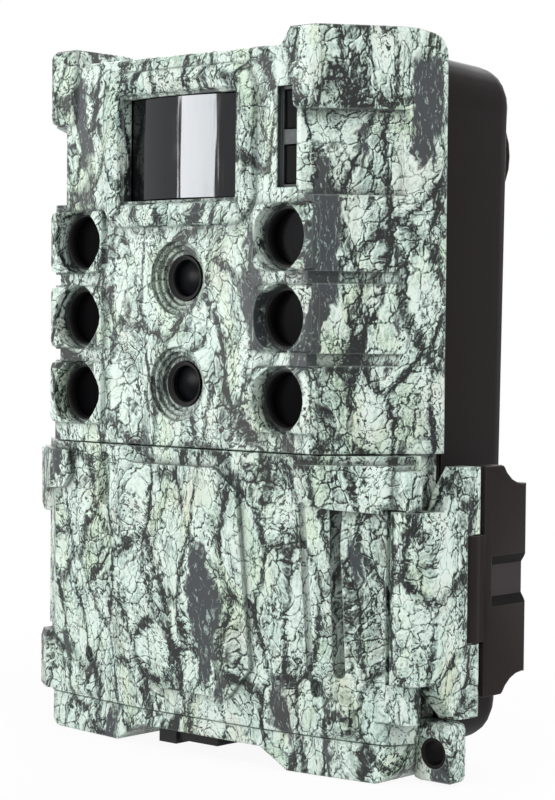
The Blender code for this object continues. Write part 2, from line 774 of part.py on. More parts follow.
def front_shell():
    """Bark-pattern front: sculpted face above, open door frame and feet below."""
    shell = upper_case()
    frame_plan = mirrored(
        [
            (LOWER_HALF - FRAME_CHAMFER, -FRAME_DEPTH, 0),
            (LOWER_HALF, -FRAME_DEPTH / 2, 0),
            (LOWER_HALF, FRONT_BACK, 0),
        ]
    )
    join(shell, prism("door_frame", rounded(frame_plan), RIM_TOP - WALL, SEAM_Z + WALL / 2), foot_rim())
    cut(
        shell,
        prism(
            "case_hollow",
            rounded(inset(case_corners(2 * WALL, NOTCH_DEPTH), WALL)),
            SEAM_Z + WALL,
            TOP_Z - WALL,
        ),
        box("frame_hollow", (-INNER_HALF, LIP_BACK, INNER_LOW), (INNER_HALF, WALL, SEAM_Z + 2 * WALL)),
    )
    opening = INNER_HALF - FRAME_LIP
    low = (-opening, -FACE_DEPTH, INNER_LOW + GAP)
    cut(shell, box("door_opening", low, (opening, WALL, SEAM_Z - WALL), radius=OPENING_FILLET))
    lamps = [(side * LED_X, z) for side in (-1, 1) for z in LED_ROWS]
    inner_face = -FACE_DEPTH + WALL / 2
    sleeve_r = LED_BORE_R + LED_SLEEVE
    sleeve_end = -LED_BOARD_DEPTH - GAP
    boss_end = -FACE_DEPTH + 2 * WALL
    carriers = []
    for x, z in lamps:
        carriers.append(rod(f"sleeve_{x:.4f}_{z:.4f}", (x, z), sleeve_r, inner_face, sleeve_end, "Y"))
    carriers += [rod(f"boss_{z:.4f}", (0, z), FUNNEL_R + WALL, inner_face, boss_end, "Y") for z in LENS_ROWS]
    post_start = -HIP_DEPTH - WALL
    for x in (-POST_X, POST_X):
        for z in POST_ROWS:
            carriers.append(rod(f"post_{x:.4f}_{z:.4f}", (x, z), POST_R, post_start, MAIN_BOARD_Y - GAP, "Y"))
    join(shell, group("carriers", *carriers), hinge_barrel(), padlock_lug())

    front = -2 * FACE_DEPTH
    rim_end = POD_FRONT + LED_RIM_DEPTH
    rims = [rod(f"rim_{x:.4f}_{z:.4f}", (x, z), LED_RIM_R, front, rim_end, "Y", 28) for x, z in lamps]
    bores = [rod(f"bore_{x:.4f}_{z:.4f}", (x, z), LED_BORE_R, front, 0, "Y", 28) for x, z in lamps]
    padlock_eye = (PADLOCK_OUT - PADLOCK_WALL - PADLOCK_HOLE_R, PADLOCK_HEIGHT / 2)
    port_half = PORT_HALF_T + GAP
    cut(
        shell,
        group("rims", *rims),
        group("bores", *bores),
        group("funnels", *[lens_funnel(z) for z in LENS_ROWS]),
        box(
            "pir_opening",
            (-PIR_HALF_W, front, PIR_Z - PIR_HALF_H),
            (PIR_HALF_W, 0, PIR_Z + PIR_HALF_H),
        ),
        *sensor_channel(),
        rod("hinge_bore", (-HINGE_X, -HINGE_Y), HINGE_PIN_R + RUN, 0, SEAM_Z, sides=16),
        rod("padlock_eye", padlock_eye, PADLOCK_HOLE_R, front, FACE_DEPTH, "Y"),
        box(
            "port_pocket",
            (PORT_X - PORT_HALF_W - GAP, -PORT_Y - port_half, -WALL),
            (PORT_X + PORT_HALF_W + GAP, -PORT_Y + port_half, INNER_LOW + WALL),
        ),
    )
    return finish(shell, BARK, 0.55)


def rear_section(depth, shrink, lean):
    """Upright outline of the rear shell, taken in by a shrink, at a depth that leans forward below."""
    half = REAR_HALF - shrink
    corners = rectangle(-half, REAR_LOW + shrink, half, REAR_TOP - shrink, REAR_CORNER - shrink / 2)
    height = REAR_TOP - REAR_LOW
    return [(x, depth - lean * (REAR_TOP - z) / height, z) for x, z in rounded(corners, steps=5)]


def rear_loft(name, wall, start):
    """Dished tub with a drafted wall and a rounded back edge, taken in by a wall thickness."""
    depth = REAR_DEPTH - wall
    edge = REAR_EDGE - wall
    steps = 4
    sections = [rear_section(start, wall, 0)]
    for i in range(steps + 1):
        angle = math.pi / 2 * i / steps
        shrink = wall + REAR_DRAFT + edge * (1 - math.cos(angle))
        sections.append(rear_section(depth - edge + edge * math.sin(angle), shrink, BACK_LEAN))
    return loft(name, sections)


def strap_lug(side):
    """Half-round lug on the back for a strap or cable."""
    centre_y = LUG_APEX - STRAP_LUG_R
    root = REAR_DEPTH - WALL
    steps = 12
    outline = [(root, STRAP_LUG_Z - STRAP_LUG_R)]
    for i in range(steps + 1):
        angle = math.pi * i / steps
        y = centre_y + STRAP_LUG_R * math.sin(angle)
        outline.append((y, STRAP_LUG_Z - STRAP_LUG_R * math.cos(angle)))
    outline.append((root, STRAP_LUG_Z + STRAP_LUG_R))
    middle = side * STRAP_LUG_X
    return prism(f"lug_{side}", outline, middle - STRAP_LUG_HALF, middle + STRAP_LUG_HALF, axis="X")


def rear_shell():
    """Dark rear tub with strap lugs, a tripod boss, a gasket groove and the latch catch."""
    shell = rear_loft("rear_shell", 0.0, -FRONT_BACK)
    boss = box(
        "tripod_boss",
        (-BOSS_HALF, BOSS_Y - BOSS_HALF_Y, 0),
        (BOSS_HALF, BOSS_Y + BOSS_HALF_Y, REAR_LOW + REAR_EDGE),
        radius=BOSS_FILLET,
    )
    join(shell, boss, group("strap_lugs", *[strap_lug(side) for side in (-1, 1)]))
    cut(shell, rear_loft("rear_hollow", REAR_WALL, -WALL))
    catch_low = (REAR_HALF - REAR_WALL / 2, CATCH_FRONT, TONGUE_LOW)
    catch_high = (REAR_HALF + CATCH_RISE, CATCH_FRONT + CATCH_THICK, TONGUE_TOP)
    join(shell, box("catch", catch_low, catch_high))
    eye_y = LUG_APEX - STRAP_LUG_HALF - STRAP_HOLE_R
    cut(
        shell,
        rod("strap_eyes", (eye_y, STRAP_LUG_Z), STRAP_HOLE_R, -BODY_HALF, BODY_HALF, "X"),
        rod("insert_pocket", (0, BOSS_Y), INSERT_R + RUN, -WALL, INSERT_LENGTH + 2 * GAP),
        gasket_ring("gasket_groove", GAP),
    )
    return finish(shell, CASE_BROWN, 0.5)


def gasket_ring(name, room):
    """The seal in the rear shell's front edge, or its groove when given room all round."""
    edge = (REAR_WALL - GASKET) / 2 - room
    width = GASKET + 2 * room
    front = -FRONT_BACK if not room else -WALL
    half = REAR_HALF - edge
    low = REAR_LOW + edge
    top = REAR_TOP - edge
    return square_ring(name, -half, low, half, top, width, REAR_CORNER - edge, front, GASKET + room)


def tripod_insert():
    """Brass bush in the boss under the rear shell."""
    bush = rod("tripod_insert", (0, BOSS_Y), INSERT_R, GAP, GAP + INSERT_LENGTH)
    cut(bush, rod("insert_bore", (0, BOSS_Y), INSERT_BORE_R, -WALL, INSERT_LENGTH + WALL))
    return finish(bush, BRASS, 0.35, 1.0)


def door_shape(z):
    """Front depth, corner half-width and hip depth of the door at a height."""
    share = (z - DOOR_LOW) / (DOOR_TOP - DOOR_LOW)
    depth = DOOR_LOW_DEPTH + share * (DOOR_TOP_DEPTH - DOOR_LOW_DEPTH)
    corner = DOOR_LOW_CORNER + share * (DOOR_TOP_CORNER - DOOR_LOW_CORNER)
    hip = DOOR_LOW_HIP + share * (DOOR_TOP_HIP - DOOR_LOW_HIP)
    return depth, corner, hip


def door_section(z, lift=0.0, back=DOOR_BACK):
    """One level ring of the door's outside, grown outwards by a lift and ended at a back line."""
    depth, corner, hip = door_shape(z)
    right = [
        (PLATE_HALF, -depth, CROWN_FILLET),
        (corner, -depth + CORNER_DROP, DOOR_FILLET),
        (DOOR_HIP_HALF, -hip, DOOR_FILLET),
        (DOOR_HALF, DOOR_BACK - 2 * GAP, 0),
        (DOOR_HALF, FACE_DEPTH, 0),
    ]
    outline = rounded(inset(mirrored(right), -lift), steps=3)
    return [(x, min(y, back), z) for x, y in outline]


def door_front(x, z):
    """The y of the door's front at a place on it."""
    depth, corner, hip = door_shape(z)
    across = abs(x)
    if across <= PLATE_HALF:
        return -depth
    if across <= corner:
        return -depth + CORNER_DROP * (across - PLATE_HALF) / (corner - PLATE_HALF)
    share = (across - corner) / (DOOR_HIP_HALF - corner)
    return -depth + CORNER_DROP + share * (depth - CORNER_DROP - hip)


def on_door(name, outline, lift):
    """A raised area of the door that follows its curved front, from an upright (x, z) outline."""
    area = loft(name, [door_section(DOOR_LOW + GAP, lift), door_section(DOOR_TOP - GAP, lift)])
    keep_common(area, prism(f"{name}_outline", outline, -2 * FACE_DEPTH, DOOR_BACK - 2 * GAP, axis="Y"))
    return area


def groove(name, top, low, radius, depth):
    """A round-ended upright groove in the door's front, from a top (x, z) to a low (x, z) point."""
    ends = [Vector((x, door_front(x, z) + depth - radius, z)) for x, z in (top, low)]
    run = ends[0] - ends[1]
    bm = bmesh.new()
    bmesh.ops.create_uvsphere(bm, u_segments=12, v_segments=8, radius=radius)
    for vert in bm.verts:
        if vert.co.z > radius * 0.01:
            vert.co.z += run.length
        elif vert.co.z > -radius * 0.01:
            vert.co.z += run.length / 2
    turn = Vector((0, 0, 1)).rotation_difference(run).to_matrix()
    bmesh.ops.rotate(bm, cent=(0, 0, 0), matrix=turn, verts=bm.verts)
    bmesh.ops.translate(bm, vec=ends[1], verts=bm.verts)
    return from_bmesh(name, bm)


def hinge_lugs(door):
    """Two rounded lugs on the left edge, carried on arms that reach round the case."""
    low_end = HINGE_LOW_Z + HINGE_LOW_LENGTH
    top_end = HINGE_TOP_Z - HINGE_TOP_LENGTH
    spans = (
        (HINGE_LOW_Z, low_end, low_end, low_end - HINGE_LOW_SLOPE),
        (top_end, HINGE_TOP_Z, top_end, top_end + HINGE_TOP_SLOPE),
    )
    inner = -DOOR_HOLLOW_HALF - GAP
    arm = [
        (-HINGE_X - HINGE_LUG_R * 0.8, -HINGE_Y - HINGE_LUG_R * 0.6),
        (-HINGE_X, -HINGE_Y - HINGE_LUG_R * 1.5),
        (-DOOR_HIP_HALF - GAP, -DOOR_TOP_HIP - RELIEF / 2),
        (inner, -DOOR_LOW_HIP - GAP),
        (inner, DOOR_BACK - 3 * GAP),
        (-HINGE_X + HINGE_LUG_R * 0.55, DOOR_BACK - GAP),
        (-HINGE_X, -HINGE_Y),
    ]
    outer = -HINGE_X - HINGE_LUG_R - GAP
    for i, (low, high, tip, shoulder) in enumerate(spans):
        lug = rod(f"hinge_lug_{i}", (-HINGE_X, -HINGE_Y), HINGE_LUG_R, low, high)
        join(lug, prism(f"lug_arm_{i}", arm, low, high))
        beyond = tip + (tip - shoulder)
        slope = [(outer, shoulder), (-BODY_HALF, tip), (-BODY_HALF, beyond), (outer, beyond)]
        cut(lug, prism(f"lug_slope_{i}", slope, -FACE_DEPTH, FACE_DEPTH, axis="Y"))
        join(door, lug)
    bore_low = HINGE_LOW_Z + WALL
    cut(door, rod("door_pin_bore", (-HINGE_X, -HINGE_Y), HINGE_PIN_R + RUN, bore_low, SEAM_Z, sides=16))


def claw_bosses(door):
    """Two bosses on the right edge that hold the claw's pin, with room for its bar between them."""
    low = BAR_LOW - GAP - LATCH_BOSS_LENGTH
    high = BAR_TOP + GAP + LATCH_BOSS_LENGTH
    half = LATCH_BOSS_R * 0.9
    boss = rod("claw_boss", (LATCH_X, -LATCH_Y), LATCH_BOSS_R, low, high)
    near = (DOOR_HOLLOW_HALF + GAP, -LATCH_Y - half, low)
    join(boss, box("claw_web", near, (LATCH_X, -LATCH_Y + half, high)))
    join(door, boss)
    recess_low = (LATCH_X - BAR_R - GAP, -2 * FACE_DEPTH, BAR_LOW - GAP)
    pin_low, pin_high = claw_pin_span(GAP)
    cut(
        door,
        box("latch_recess", recess_low, (2 * BODY_HALF, 0, BAR_TOP + GAP)),
        rod("door_claw_bore", (LATCH_X, -LATCH_Y), LATCH_PIN_R + RUN, pin_low, pin_high, sides=16),
    )


def claw_pin_span(room):
    """Low and high ends of the claw's pin, with room beyond each end."""
    hold = LATCH_BOSS_LENGTH * 0.7
    return BAR_LOW - GAP - hold - room, BAR_TOP + GAP + hold + room


def door_relief(door):
    """Raised centre plate, shoulders and toes on the door's front."""
    half = PLATE_HALF
    top = DOOR_TOP - PLATE_TOP
    shoulder = DOOR_TOP - PLATE_SHOULDER
    low = DOOR_LOW + TOE_HEIGHT
    right = [
        (half * 0.6, low - half * 0.2, 0),
        (half, low + half * 0.2, 0),
        (half, shoulder, 0),
        (half * 0.67, top, 0),
    ]
    plate = [(x, z) for x, z, _ in mirrored(right)]
    join(door, on_door("centre_plate", plate, PLATE_LIFT))
    band_low = DOOR_TOP - SHOULDER_HEIGHT
    band_top = DOOR_TOP - PLATE_TOP / 2
    slant = SHOULDER_HEIGHT * 0.3
    toes = []
    for side in (-1, 1):
        outline = [
            (side * SHOULDER_INNER, band_low + slant),
            (side * (SHOULDER_INNER + slant), band_low),
            (side * (DOOR_HALF - GAP), band_low - slant / 2),
            (side * (DOOR_HALF - GAP), band_top),
            (side * SHOULDER_INNER, band_top),
        ]
        join(door, on_door(f"shoulder_{side}", outline, SHOULDER_LIFT))
        x = side * (DOOR_LOW_CORNER + RELIEF)
        y = door_front(x, DOOR_LOW)
        toes.append(
            box(
                f"toe_{side}",
                (x - TOE_HALF, y - RELIEF, DOOR_LOW + GAP),
                (x + TOE_HALF, y + 2 * DOOR_WALL, DOOR_LOW + TOE_HEIGHT),
                radius=TOE_HEIGHT / 4,
                segments=3,
            )
        )
    join(door, group("toes", *toes))


def door_grooves():
    """Cutters for the upright grooves and the small round recesses on the door's front."""
    rib_top = DOOR_TOP - SHOULDER_HEIGHT - GAP
    rib_low = DOOR_LOW + TOE_HEIGHT * 1.6
    left_x = (PLATE_HALF + DOOR_LOW_CORNER * 0.75) / 2
    thin_x = SHOULDER_INNER + GAP
    deep_x = DOOR_TOP_CORNER + DEEP_GROOVE_OUT
    dimple_z = DOOR_LOW + TOE_HEIGHT * 1.2
    dimple_low = dimple_z - DIMPLE_LENGTH
    left_top = (-left_x, DOOR_TOP - PLATE_TOP)
    left_low = (-left_x - RELIEF, DOOR_TOP - SHOULDER_HEIGHT - RELIEF)
    return [
        groove("groove_left", left_top, left_low, *WIDE_GROOVE),
        groove("groove_thin", (thin_x, rib_top), (thin_x - GAP * 3, rib_low), *THIN_GROOVE),
        groove("groove_deep", (deep_x, rib_top), (deep_x - GAP * 4, rib_low), *DEEP_GROOVE),
        groove("dimple_right", (thin_x, dimple_z), (thin_x, dimple_low), *DIMPLE),
        groove("dimple_left", (-thin_x, dimple_z), (-thin_x, dimple_low), *DIMPLE),
    ]


def seal_ring(name, room):
    """The seal in the door's back edge, or its groove when given room all round."""
    half = DOOR_HOLLOW_HALF + SEAL_OUT + room
    low = DOOR_LOW + DOOR_END_WALL - SEAL - 2 * GAP - room
    top = DOOR_TOP - DOOR_END_WALL + SEAL + 2 * GAP + room
    front = DOOR_BACK - SEAL + GAP - room
    back = DOOR_BACK if not room else DOOR_BACK + WALL
    return square_ring(name, -half, low, half, top, SEAL + 2 * room, SEAL_CORNER, front, back)


def lower_cover():
    """Battery door: a slanted, crowned cover with shoulders, a centre plate, grooves and toes."""
    door = loft("lower_cover", [door_section(DOOR_LOW), door_section(DOOR_TOP)])
    door_relief(door)
    hinge_lugs(door)
    claw_bosses(door)
    floor = DOOR_LOW + DOOR_END_WALL
    roof = DOOR_TOP - DOOR_END_WALL
    half = DOOR_HOLLOW_HALF
    hollow = loft("door_hollow", [door_section(z, -DOOR_WALL, WALL) for z in (floor, roof)])
    keep_common(hollow, box("hollow_limit", (-half, -2 * FACE_DEPTH, 0), (half, FACE_DEPTH, BODY_HEIGHT)))
    cut(door, hollow, seal_ring("seal_groove", GAP), *door_grooves())
    return finish(door, BARK, 0.55)


def claw_plan():
    """Plan outline of the claw, from its front bar to the knuckle on the side of the case."""
    outer = LEVER_OUT - GAP
    inner = outer - CLAW_THICK
    return [
        (LATCH_X, -LATCH_Y - BAR_R * 0.6),
        (LATCH_X + BAR_R * 0.85, -LATCH_Y - BAR_R * 0.35),
        (outer - GAP, -KNUCKLE_R),
        (outer, KNUCKLE_Y),
        (inner - GAP, KNUCKLE_Y),
        (inner - 2 * GAP, -KNUCKLE_R),
        (LATCH_X + GAP * 2, -LATCH_Y + BAR_R * 0.9),
        (LATCH_X, -LATCH_Y + BAR_R * 0.5),
    ]


def latch_claw():
    """Bark-pattern claw: a front bar between the door's bosses, a bent plate and two ears."""
    claw = prism("latch_claw", claw_plan(), CLAW_LOW, CLAW_TOP)
    low_ear = rod("claw_ear_low", (KNUCKLE_X, KNUCKLE_Y), KNUCKLE_R, CLAW_LOW + RUN, TONGUE_LOW - GAP)
    top_ear = rod("claw_ear_top", (KNUCKLE_X, KNUCKLE_Y), KNUCKLE_R, TONGUE_TOP + GAP, CLAW_TOP - RUN)
    join(claw, group("claw_ears", low_ear, top_ear))
    behind = -LATCH_Y + BAR_R + GAP
    above = CLAW_TOP + WALL
    below = CLAW_LOW - WALL
    top_cut = [
        (-2 * LATCH_Y, above),
        (-2 * LATCH_Y, BAR_TOP),
        (behind, BAR_TOP),
        (behind + BAR_R * 0.3, BAR_TOP + BAR_R),
        (behind + BAR_R, CLAW_TOP),
        (behind + BAR_R, above),
    ]
    low_cut = [
        (-2 * LATCH_Y, below),
        (-LATCH_Y + BAR_R * 1.9, below),
        (-LATCH_Y + BAR_R * 1.9, CLAW_LOW),
        (-LATCH_Y + BAR_R * 0.4, BAR_LOW),
        (-2 * LATCH_Y, BAR_LOW),
    ]
    top_cutter = prism("claw_top_cut", top_cut, 0, 2 * BODY_HALF, axis="X")
    low_cutter = prism("claw_low_cut", low_cut, 0, 2 * BODY_HALF, axis="X")
    cut(claw, group("claw_cuts", top_cutter, low_cutter))
    join(claw, rod("claw_bar", (LATCH_X, -LATCH_Y), BAR_R, BAR_LOW, BAR_TOP, sides=28))
    slot_low = (LATCH_X, KNUCKLE_Y - KNUCKLE_R - GAP, TONGUE_LOW - GAP)
    clear_r = LATCH_BOSS_R + 2 * GAP
    low_clear = rod("claw_clear_low", (LATCH_X, -LATCH_Y), clear_r, below, BAR_LOW)
    top_clear = rod("claw_clear_top", (LATCH_X, -LATCH_Y), clear_r, BAR_TOP, above)
    pin_r = LATCH_PIN_R + RUN
    cut(
        claw,
        box("tongue_slot", slot_low, (2 * BODY_HALF, FACE_DEPTH, TONGUE_TOP + GAP)),
        group("claw_clear", low_clear, top_clear),
        rod("claw_bar_bore", (LATCH_X, -LATCH_Y), pin_r, 0, BODY_HEIGHT, sides=16),
        rod("claw_ear_bore", (KNUCKLE_X, KNUCKLE_Y), pin_r, CLAW_LOW + WALL, CLAW_TOP - WALL, sides=16),
    )
    return finish(claw, BARK, 0.55)


def latch_lever():
    """Dark finger lever along the side, with scooped corners, a thumb groove and a hook."""
    near = (LEVER_INNER, LEVER_FRONT, LEVER_LOW)
    lever = box("latch_lever", near, (LEVER_OUT, LEVER_BACK, CLAW_TOP), radius=LEVER_FILLET)
    tongue = rod("lever_tongue", (KNUCKLE_X, KNUCKLE_Y), KNUCKLE_R, TONGUE_LOW, TONGUE_TOP)
    web_near = (LEVER_INNER + GAP, KNUCKLE_Y, TONGUE_LOW)
    join(tongue, box("lever_web", web_near, (LEVER_OUT - GAP, LEVER_FRONT + WALL, TONGUE_TOP)))
    hook_front = CATCH_FRONT + CATCH_THICK + GAP
    hook_near = (REAR_HALF + CATCH_RISE + GAP, hook_front, TONGUE_LOW + WALL)
    hook_far = (LEVER_INNER + WALL / 2, hook_front + CATCH_THICK, TONGUE_TOP - WALL)
    join(lever, tongue, box("lever_hook", hook_near, hook_far))
    scoop_y = LEVER_BACK - SCOOP_IN
    inner = LEVER_INNER - WALL
    outer = LEVER_OUT + WALL
    low_scoop = rod("scoop_low", (scoop_y, LEVER_LOW - SCOOP_R / 2), SCOOP_R, inner, outer, "X")
    top_scoop = rod("scoop_top", (scoop_y, CLAW_TOP + SCOOP_R / 2), SCOOP_R, inner, outer, "X")
    run = THUMB_SLOPE * (outer - LEVER_OUT) / THUMB_GROOVE
    floor = LEVER_OUT - THUMB_GROOVE
    thumb = [
        (outer, THUMB_LOW - run),
        (floor, THUMB_LOW + THUMB_SLOPE),
        (floor, THUMB_TOP - THUMB_SLOPE),
        (outer, THUMB_TOP + run),
    ]
    cut(
        lever,
        group("scoops", low_scoop, top_scoop),
        prism("thumb_groove", thumb, LEVER_FRONT + KNUCKLE_R, LEVER_BACK + WALL, axis="Y"),
        rod("lever_bore", (KNUCKLE_X, KNUCKLE_Y), LATCH_PIN_R + RUN, 0, BODY_HEIGHT, sides=16),
    )
    return finish(lever, LATCH_BROWN, 0.42)


def pins():
    """The three steel pins, for the door hinge, the claw and the lever."""
    hinge_low = HINGE_LOW_Z + WALL + GAP
    claw_low, claw_high = claw_pin_span(0)
    lever_low = CLAW_LOW + WALL + GAP
    lever_high = CLAW_TOP - WALL - GAP
    hinge = rod("door_hinge_pin", (-HINGE_X, -HINGE_Y), HINGE_PIN_R, hinge_low, HINGE_TOP_Z - GAP, sides=16)
    claw = rod("claw_pin", (LATCH_X, -LATCH_Y), LATCH_PIN_R, claw_low, claw_high, sides=16)
    lever = rod("lever_pin", (KNUCKLE_X, KNUCKLE_Y), LATCH_PIN_R, lever_low, lever_high, sides=16)
    return [finish(pin, STEEL, 0.3, 1.0) for pin in (hinge, claw, lever)]


def pir_window():
    """Curved dark window over the motion sensor."""
    front = -FACE_DEPTH - GAP
    spread = math.asin((PIR_HALF_W - GAP) / PIR_CURVE)
    angles = [spread * (i / 6 - 1) for i in range(13)]
    inner_r = PIR_CURVE - PIR_THICK
    outer = [(PIR_CURVE * math.sin(a), front + PIR_CURVE * (1 - math.cos(a))) for a in angles]
    inner = [(inner_r * math.sin(a), front + PIR_CURVE - inner_r * math.cos(a)) for a in reversed(angles)]
    window = prism("pir_window", outer + inner, PIR_Z - PIR_HALF_H + GAP, PIR_Z + PIR_HALF_H - GAP)
    return finish(window, SMOKED, 0.12)


def pir_sensor():
    """Can-shaped motion sensor on the main board."""
    brim = PIR_CAN_BRIM
    neck = PIR_CAN_R - brim / 2
    profile = [(0, PIR_CAN_LENGTH), (neck, PIR_CAN_LENGTH), (neck, brim)]
    profile += [(PIR_CAN_R, brim), (PIR_CAN_R, 0), (0, 0)]
    return finish(turned("pir_sensor", profile, (0, MAIN_BOARD_Y - GAP, PIR_Z)), STEEL, 0.35, 1.0)


def lamps(side, word, first):
    """Windows, emitters and the board of the three lamps on one side."""
    seat = -LED_BOARD_DEPTH
    front = POD_FRONT + LED_WINDOW_DEPTH
    back = front + LED_WINDOW_THICK
    base = LED_BASE
    rise = seat - GAP - back - GAP - base
    dome_r = LED_BORE_R * 0.5
    dome = [(dome_r * math.sin(a), base + rise * math.cos(a)) for a in (math.pi * i / 8 for i in range(5))]
    profile = dome + [(LED_BORE_R * 0.75, base), (LED_BORE_R * 0.75, 0), (0, 0)]
    made = []
    for i, z in enumerate(LED_ROWS):
        x = side * LED_X
        window = rod(f"ir_window_{first + i}", (x, z), LED_BORE_R - RUN, front, back, "Y", 28)
        emitter = turned(f"ir_emitter_{first + i}", profile, (x, seat - GAP, z), sides=16)
        made += [finish(window, SMOKED, 0.15), finish(emitter, EMITTER, 0.2)]
    ends = sorted((side * (LED_X - POD_INNER), side * (LED_X + POD_INNER)))
    low = (ends[0], seat, LED_ROWS[-1] - POD_HALF_H)
    high = (ends[1], seat + BOARD_THICK, LED_ROWS[0] + POD_HALF_H)
    made.append(finish(box(f"led_board_{word}", low, high), BOARD_GREEN, 0.5))
    return made


def lens(word, z):
    """A camera's barrel, from its funnel back to the main board, and its front glass."""
    front = -FACE_DEPTH + FUNNEL_STEPS * FUNNEL_RISE + GAP
    flange = -FACE_DEPTH + 2 * WALL + GAP
    back = MAIN_BOARD_Y - GAP
    bore = LENS_GLASS_R + RUN
    seat = LENS_GLASS_THICK + 3 * GAP
    profile = [
        (0, -seat),
        (bore, -seat),
        (bore, 0),
        (LENS_R, 0),
        (LENS_R, front - flange),
        (BARREL_FLANGE_R, front - flange),
        (BARREL_FLANGE_R, front - back),
        (0, front - back),
    ]
    barrel = turned(f"{word}_lens_barrel", profile, (0, front, z))
    crown = LENS_CROWN
    curve = [(LENS_GLASS_R * i / 4, -2 * GAP + crown * (1 - (i / 4) ** 2) - crown) for i in range(5)]
    back_z = -seat + GAP
    glass = turned(f"{word}_lens_glass", curve + [(LENS_GLASS_R, back_z), (0, back_z)], (0, front, z))
    return [finish(barrel, RUBBER, 0.4), finish(glass, SMOKED, 0.06)]


def sensor_windows():
    """The small indicator and light sensor windows in the channel."""
    reach = CHANNEL_HALF_W - CHANNEL_EDGE - GAP
    front = -FACE_DEPTH + CHANNEL_DEPTH + GAP
    made = []
    for name, (low, high) in zip(("light_sensor_window", "indicator_window"), channel_pockets()):
        near = (CHANNEL_X - reach, front, low + GAP)
        window = box(name, near, (CHANNEL_X + reach, front + WALL, high - GAP))
        made.append(finish(window, SMOKED, 0.15))
    return made


def main_board():
    """Main circuit board on the posts behind the face."""
    half = POST_X + POST_R
    low = (-half, MAIN_BOARD_Y, SEAM_Z + 2 * WALL)
    high = (half, MAIN_BOARD_Y + BOARD_THICK, TOP_Z - 2 * WALL)
    return finish(box("main_board", low, high), BOARD_GREEN, 0.5)


def key_places():
    """The five keys of the control cross and their places."""
    steps = {"up": (0, 1), "down": (0, -1), "left": (-1, 0), "right": (1, 0), "ok": (0, 0)}
    return {f"key_{word}": (KEY_X + x * KEY_PITCH, KEY_Z + z * KEY_PITCH) for word, (x, z) in steps.items()}


def control_panel():
    """Inner panel behind the door, open at the battery bay, the screen and the controls."""
    half = INNER_HALF - GAP
    panel = box("control_panel", (-half, PANEL_FRONT, PANEL_LOW), (half, PANEL_BACK, PANEL_TOP))
    front = PANEL_FRONT - WALL
    back = PANEL_BACK + WALL
    bay_low = (TRAY_LEFT + TRAY_WALL, front, TRAY_LOW + TRAY_WALL)
    bay_high = (TRAY_RIGHT - TRAY_WALL, back, TRAY_TOP - TRAY_WALL)
    screen_low = (SCREEN_X - SCREEN_HALF_W, front, SCREEN_Z - SCREEN_HALF_H)
    screen_high = (SCREEN_X + SCREEN_HALF_W, back, SCREEN_Z + SCREEN_HALF_H)
    slot = SWITCH_HALF + GAP
    slot_low = (SWITCH_X - slot, front, SWITCH_Z - slot)
    slot_high = (SWITCH_X + slot, back, SWITCH_Z + SWITCH_TRAVEL + slot)
    notch_low = (CARD_X - CARD_WIDTH / 2, front, PANEL_LOW - WALL)
    notch_high = (CARD_X + CARD_WIDTH / 2, back, CARD_LOW_Z + WALL)
    holes = [
        box("bay", bay_low, bay_high),
        box("screen_hole", screen_low, screen_high),
        box("switch_slot", slot_low, slot_high),
        box("card_notch", notch_low, notch_high),
    ]
    for name, place in key_places().items():
        holes.append(rod(f"{name}_hole", place, KEY_R + GAP, front, back, "Y"))
    cut(panel, group("panel_holes", *holes))
    return finish(panel, PANEL_GREY, 0.5)


def keys():
    """Five round keys with flanges behind the panel."""
    made = {}
    flange = KEY_R + KEY_FLANGE
    seat = PANEL_BACK + GAP + KEY_FLANGE
    top = seat - PANEL_FRONT + KEY_PROUD
    profile = [(0, top), (KEY_R, top), (KEY_R, KEY_FLANGE), (flange, KEY_FLANGE), (flange, 0), (0, 0)]
    for name, (x, z) in key_places().items():
        made[name] = finish(turned(name, profile, (x, seat, z), sides=20), KEY_GREY, 0.5)
    return made


def power_switch():
    """Slide switch: a knob through the panel's slot and a plate behind it."""
    seat = PANEL_BACK + GAP
    low = (SWITCH_X - SWITCH_HALF, PANEL_FRONT - KEY_PROUD, SWITCH_Z - SWITCH_HALF)
    knob = box("power_switch", low, (SWITCH_X + SWITCH_HALF, seat + KEY_FLANGE / 2, SWITCH_Z + SWITCH_HALF))
    half = SWITCH_HALF + SWITCH_PLATE
    plate_low = (SWITCH_X - half, seat, SWITCH_Z - half)
    join(knob, box("switch_plate", plate_low, (SWITCH_X + half, seat + KEY_FLANGE, SWITCH_Z + half)))
    return finish(knob, KEY_GREY, 0.5)


def control_electronics():
    """Screen, board and card socket behind the panel."""
    reach_x = SCREEN_HALF_W + SCREEN_BORDER
    reach_z = SCREEN_HALF_H + SCREEN_BORDER
    screen_low = (SCREEN_X - reach_x, PANEL_BACK + GAP, SCREEN_Z - reach_z)
    screen = box("lcd_screen", screen_low, (SCREEN_X + reach_x, SCREEN_BACK, SCREEN_Z + reach_z))
    board_left = SWITCH_X - SWITCH_HALF - SWITCH_PLATE
    board_low = (board_left, CONTROL_BOARD_Y, CARD_LOW_Z + CARD_PROUD)
    board_high = (TRAY_LEFT - 2 * GAP, CONTROL_BOARD_Y + BOARD_THICK, SCREEN_Z + reach_z)
    board = box("control_board", board_low, board_high)
    room = CARD_WIDTH / 2 + GAP
    outer = room + SOCKET_WALL
    top = CARD_LOW_Z + CARD_LENGTH + GAP
    near = CARD_Y - GAP
    far = CARD_Y + CARD_THICK + GAP
    low = (CARD_X - outer, near - SOCKET_WALL, CARD_LOW_Z + CARD_PROUD)
    socket = box("sd_socket", low, (CARD_X + outer, far + SOCKET_WALL, top + SOCKET_WALL))
    cut(socket, box("socket_room", (CARD_X - room, near, 0), (CARD_X + room, far, top)))
    return [
        finish(screen, SCREEN_GREY, 0.2),
        finish(board, BOARD_GREEN, 0.5),
        finish(socket, STEEL, 0.35, 1.0),
    ]


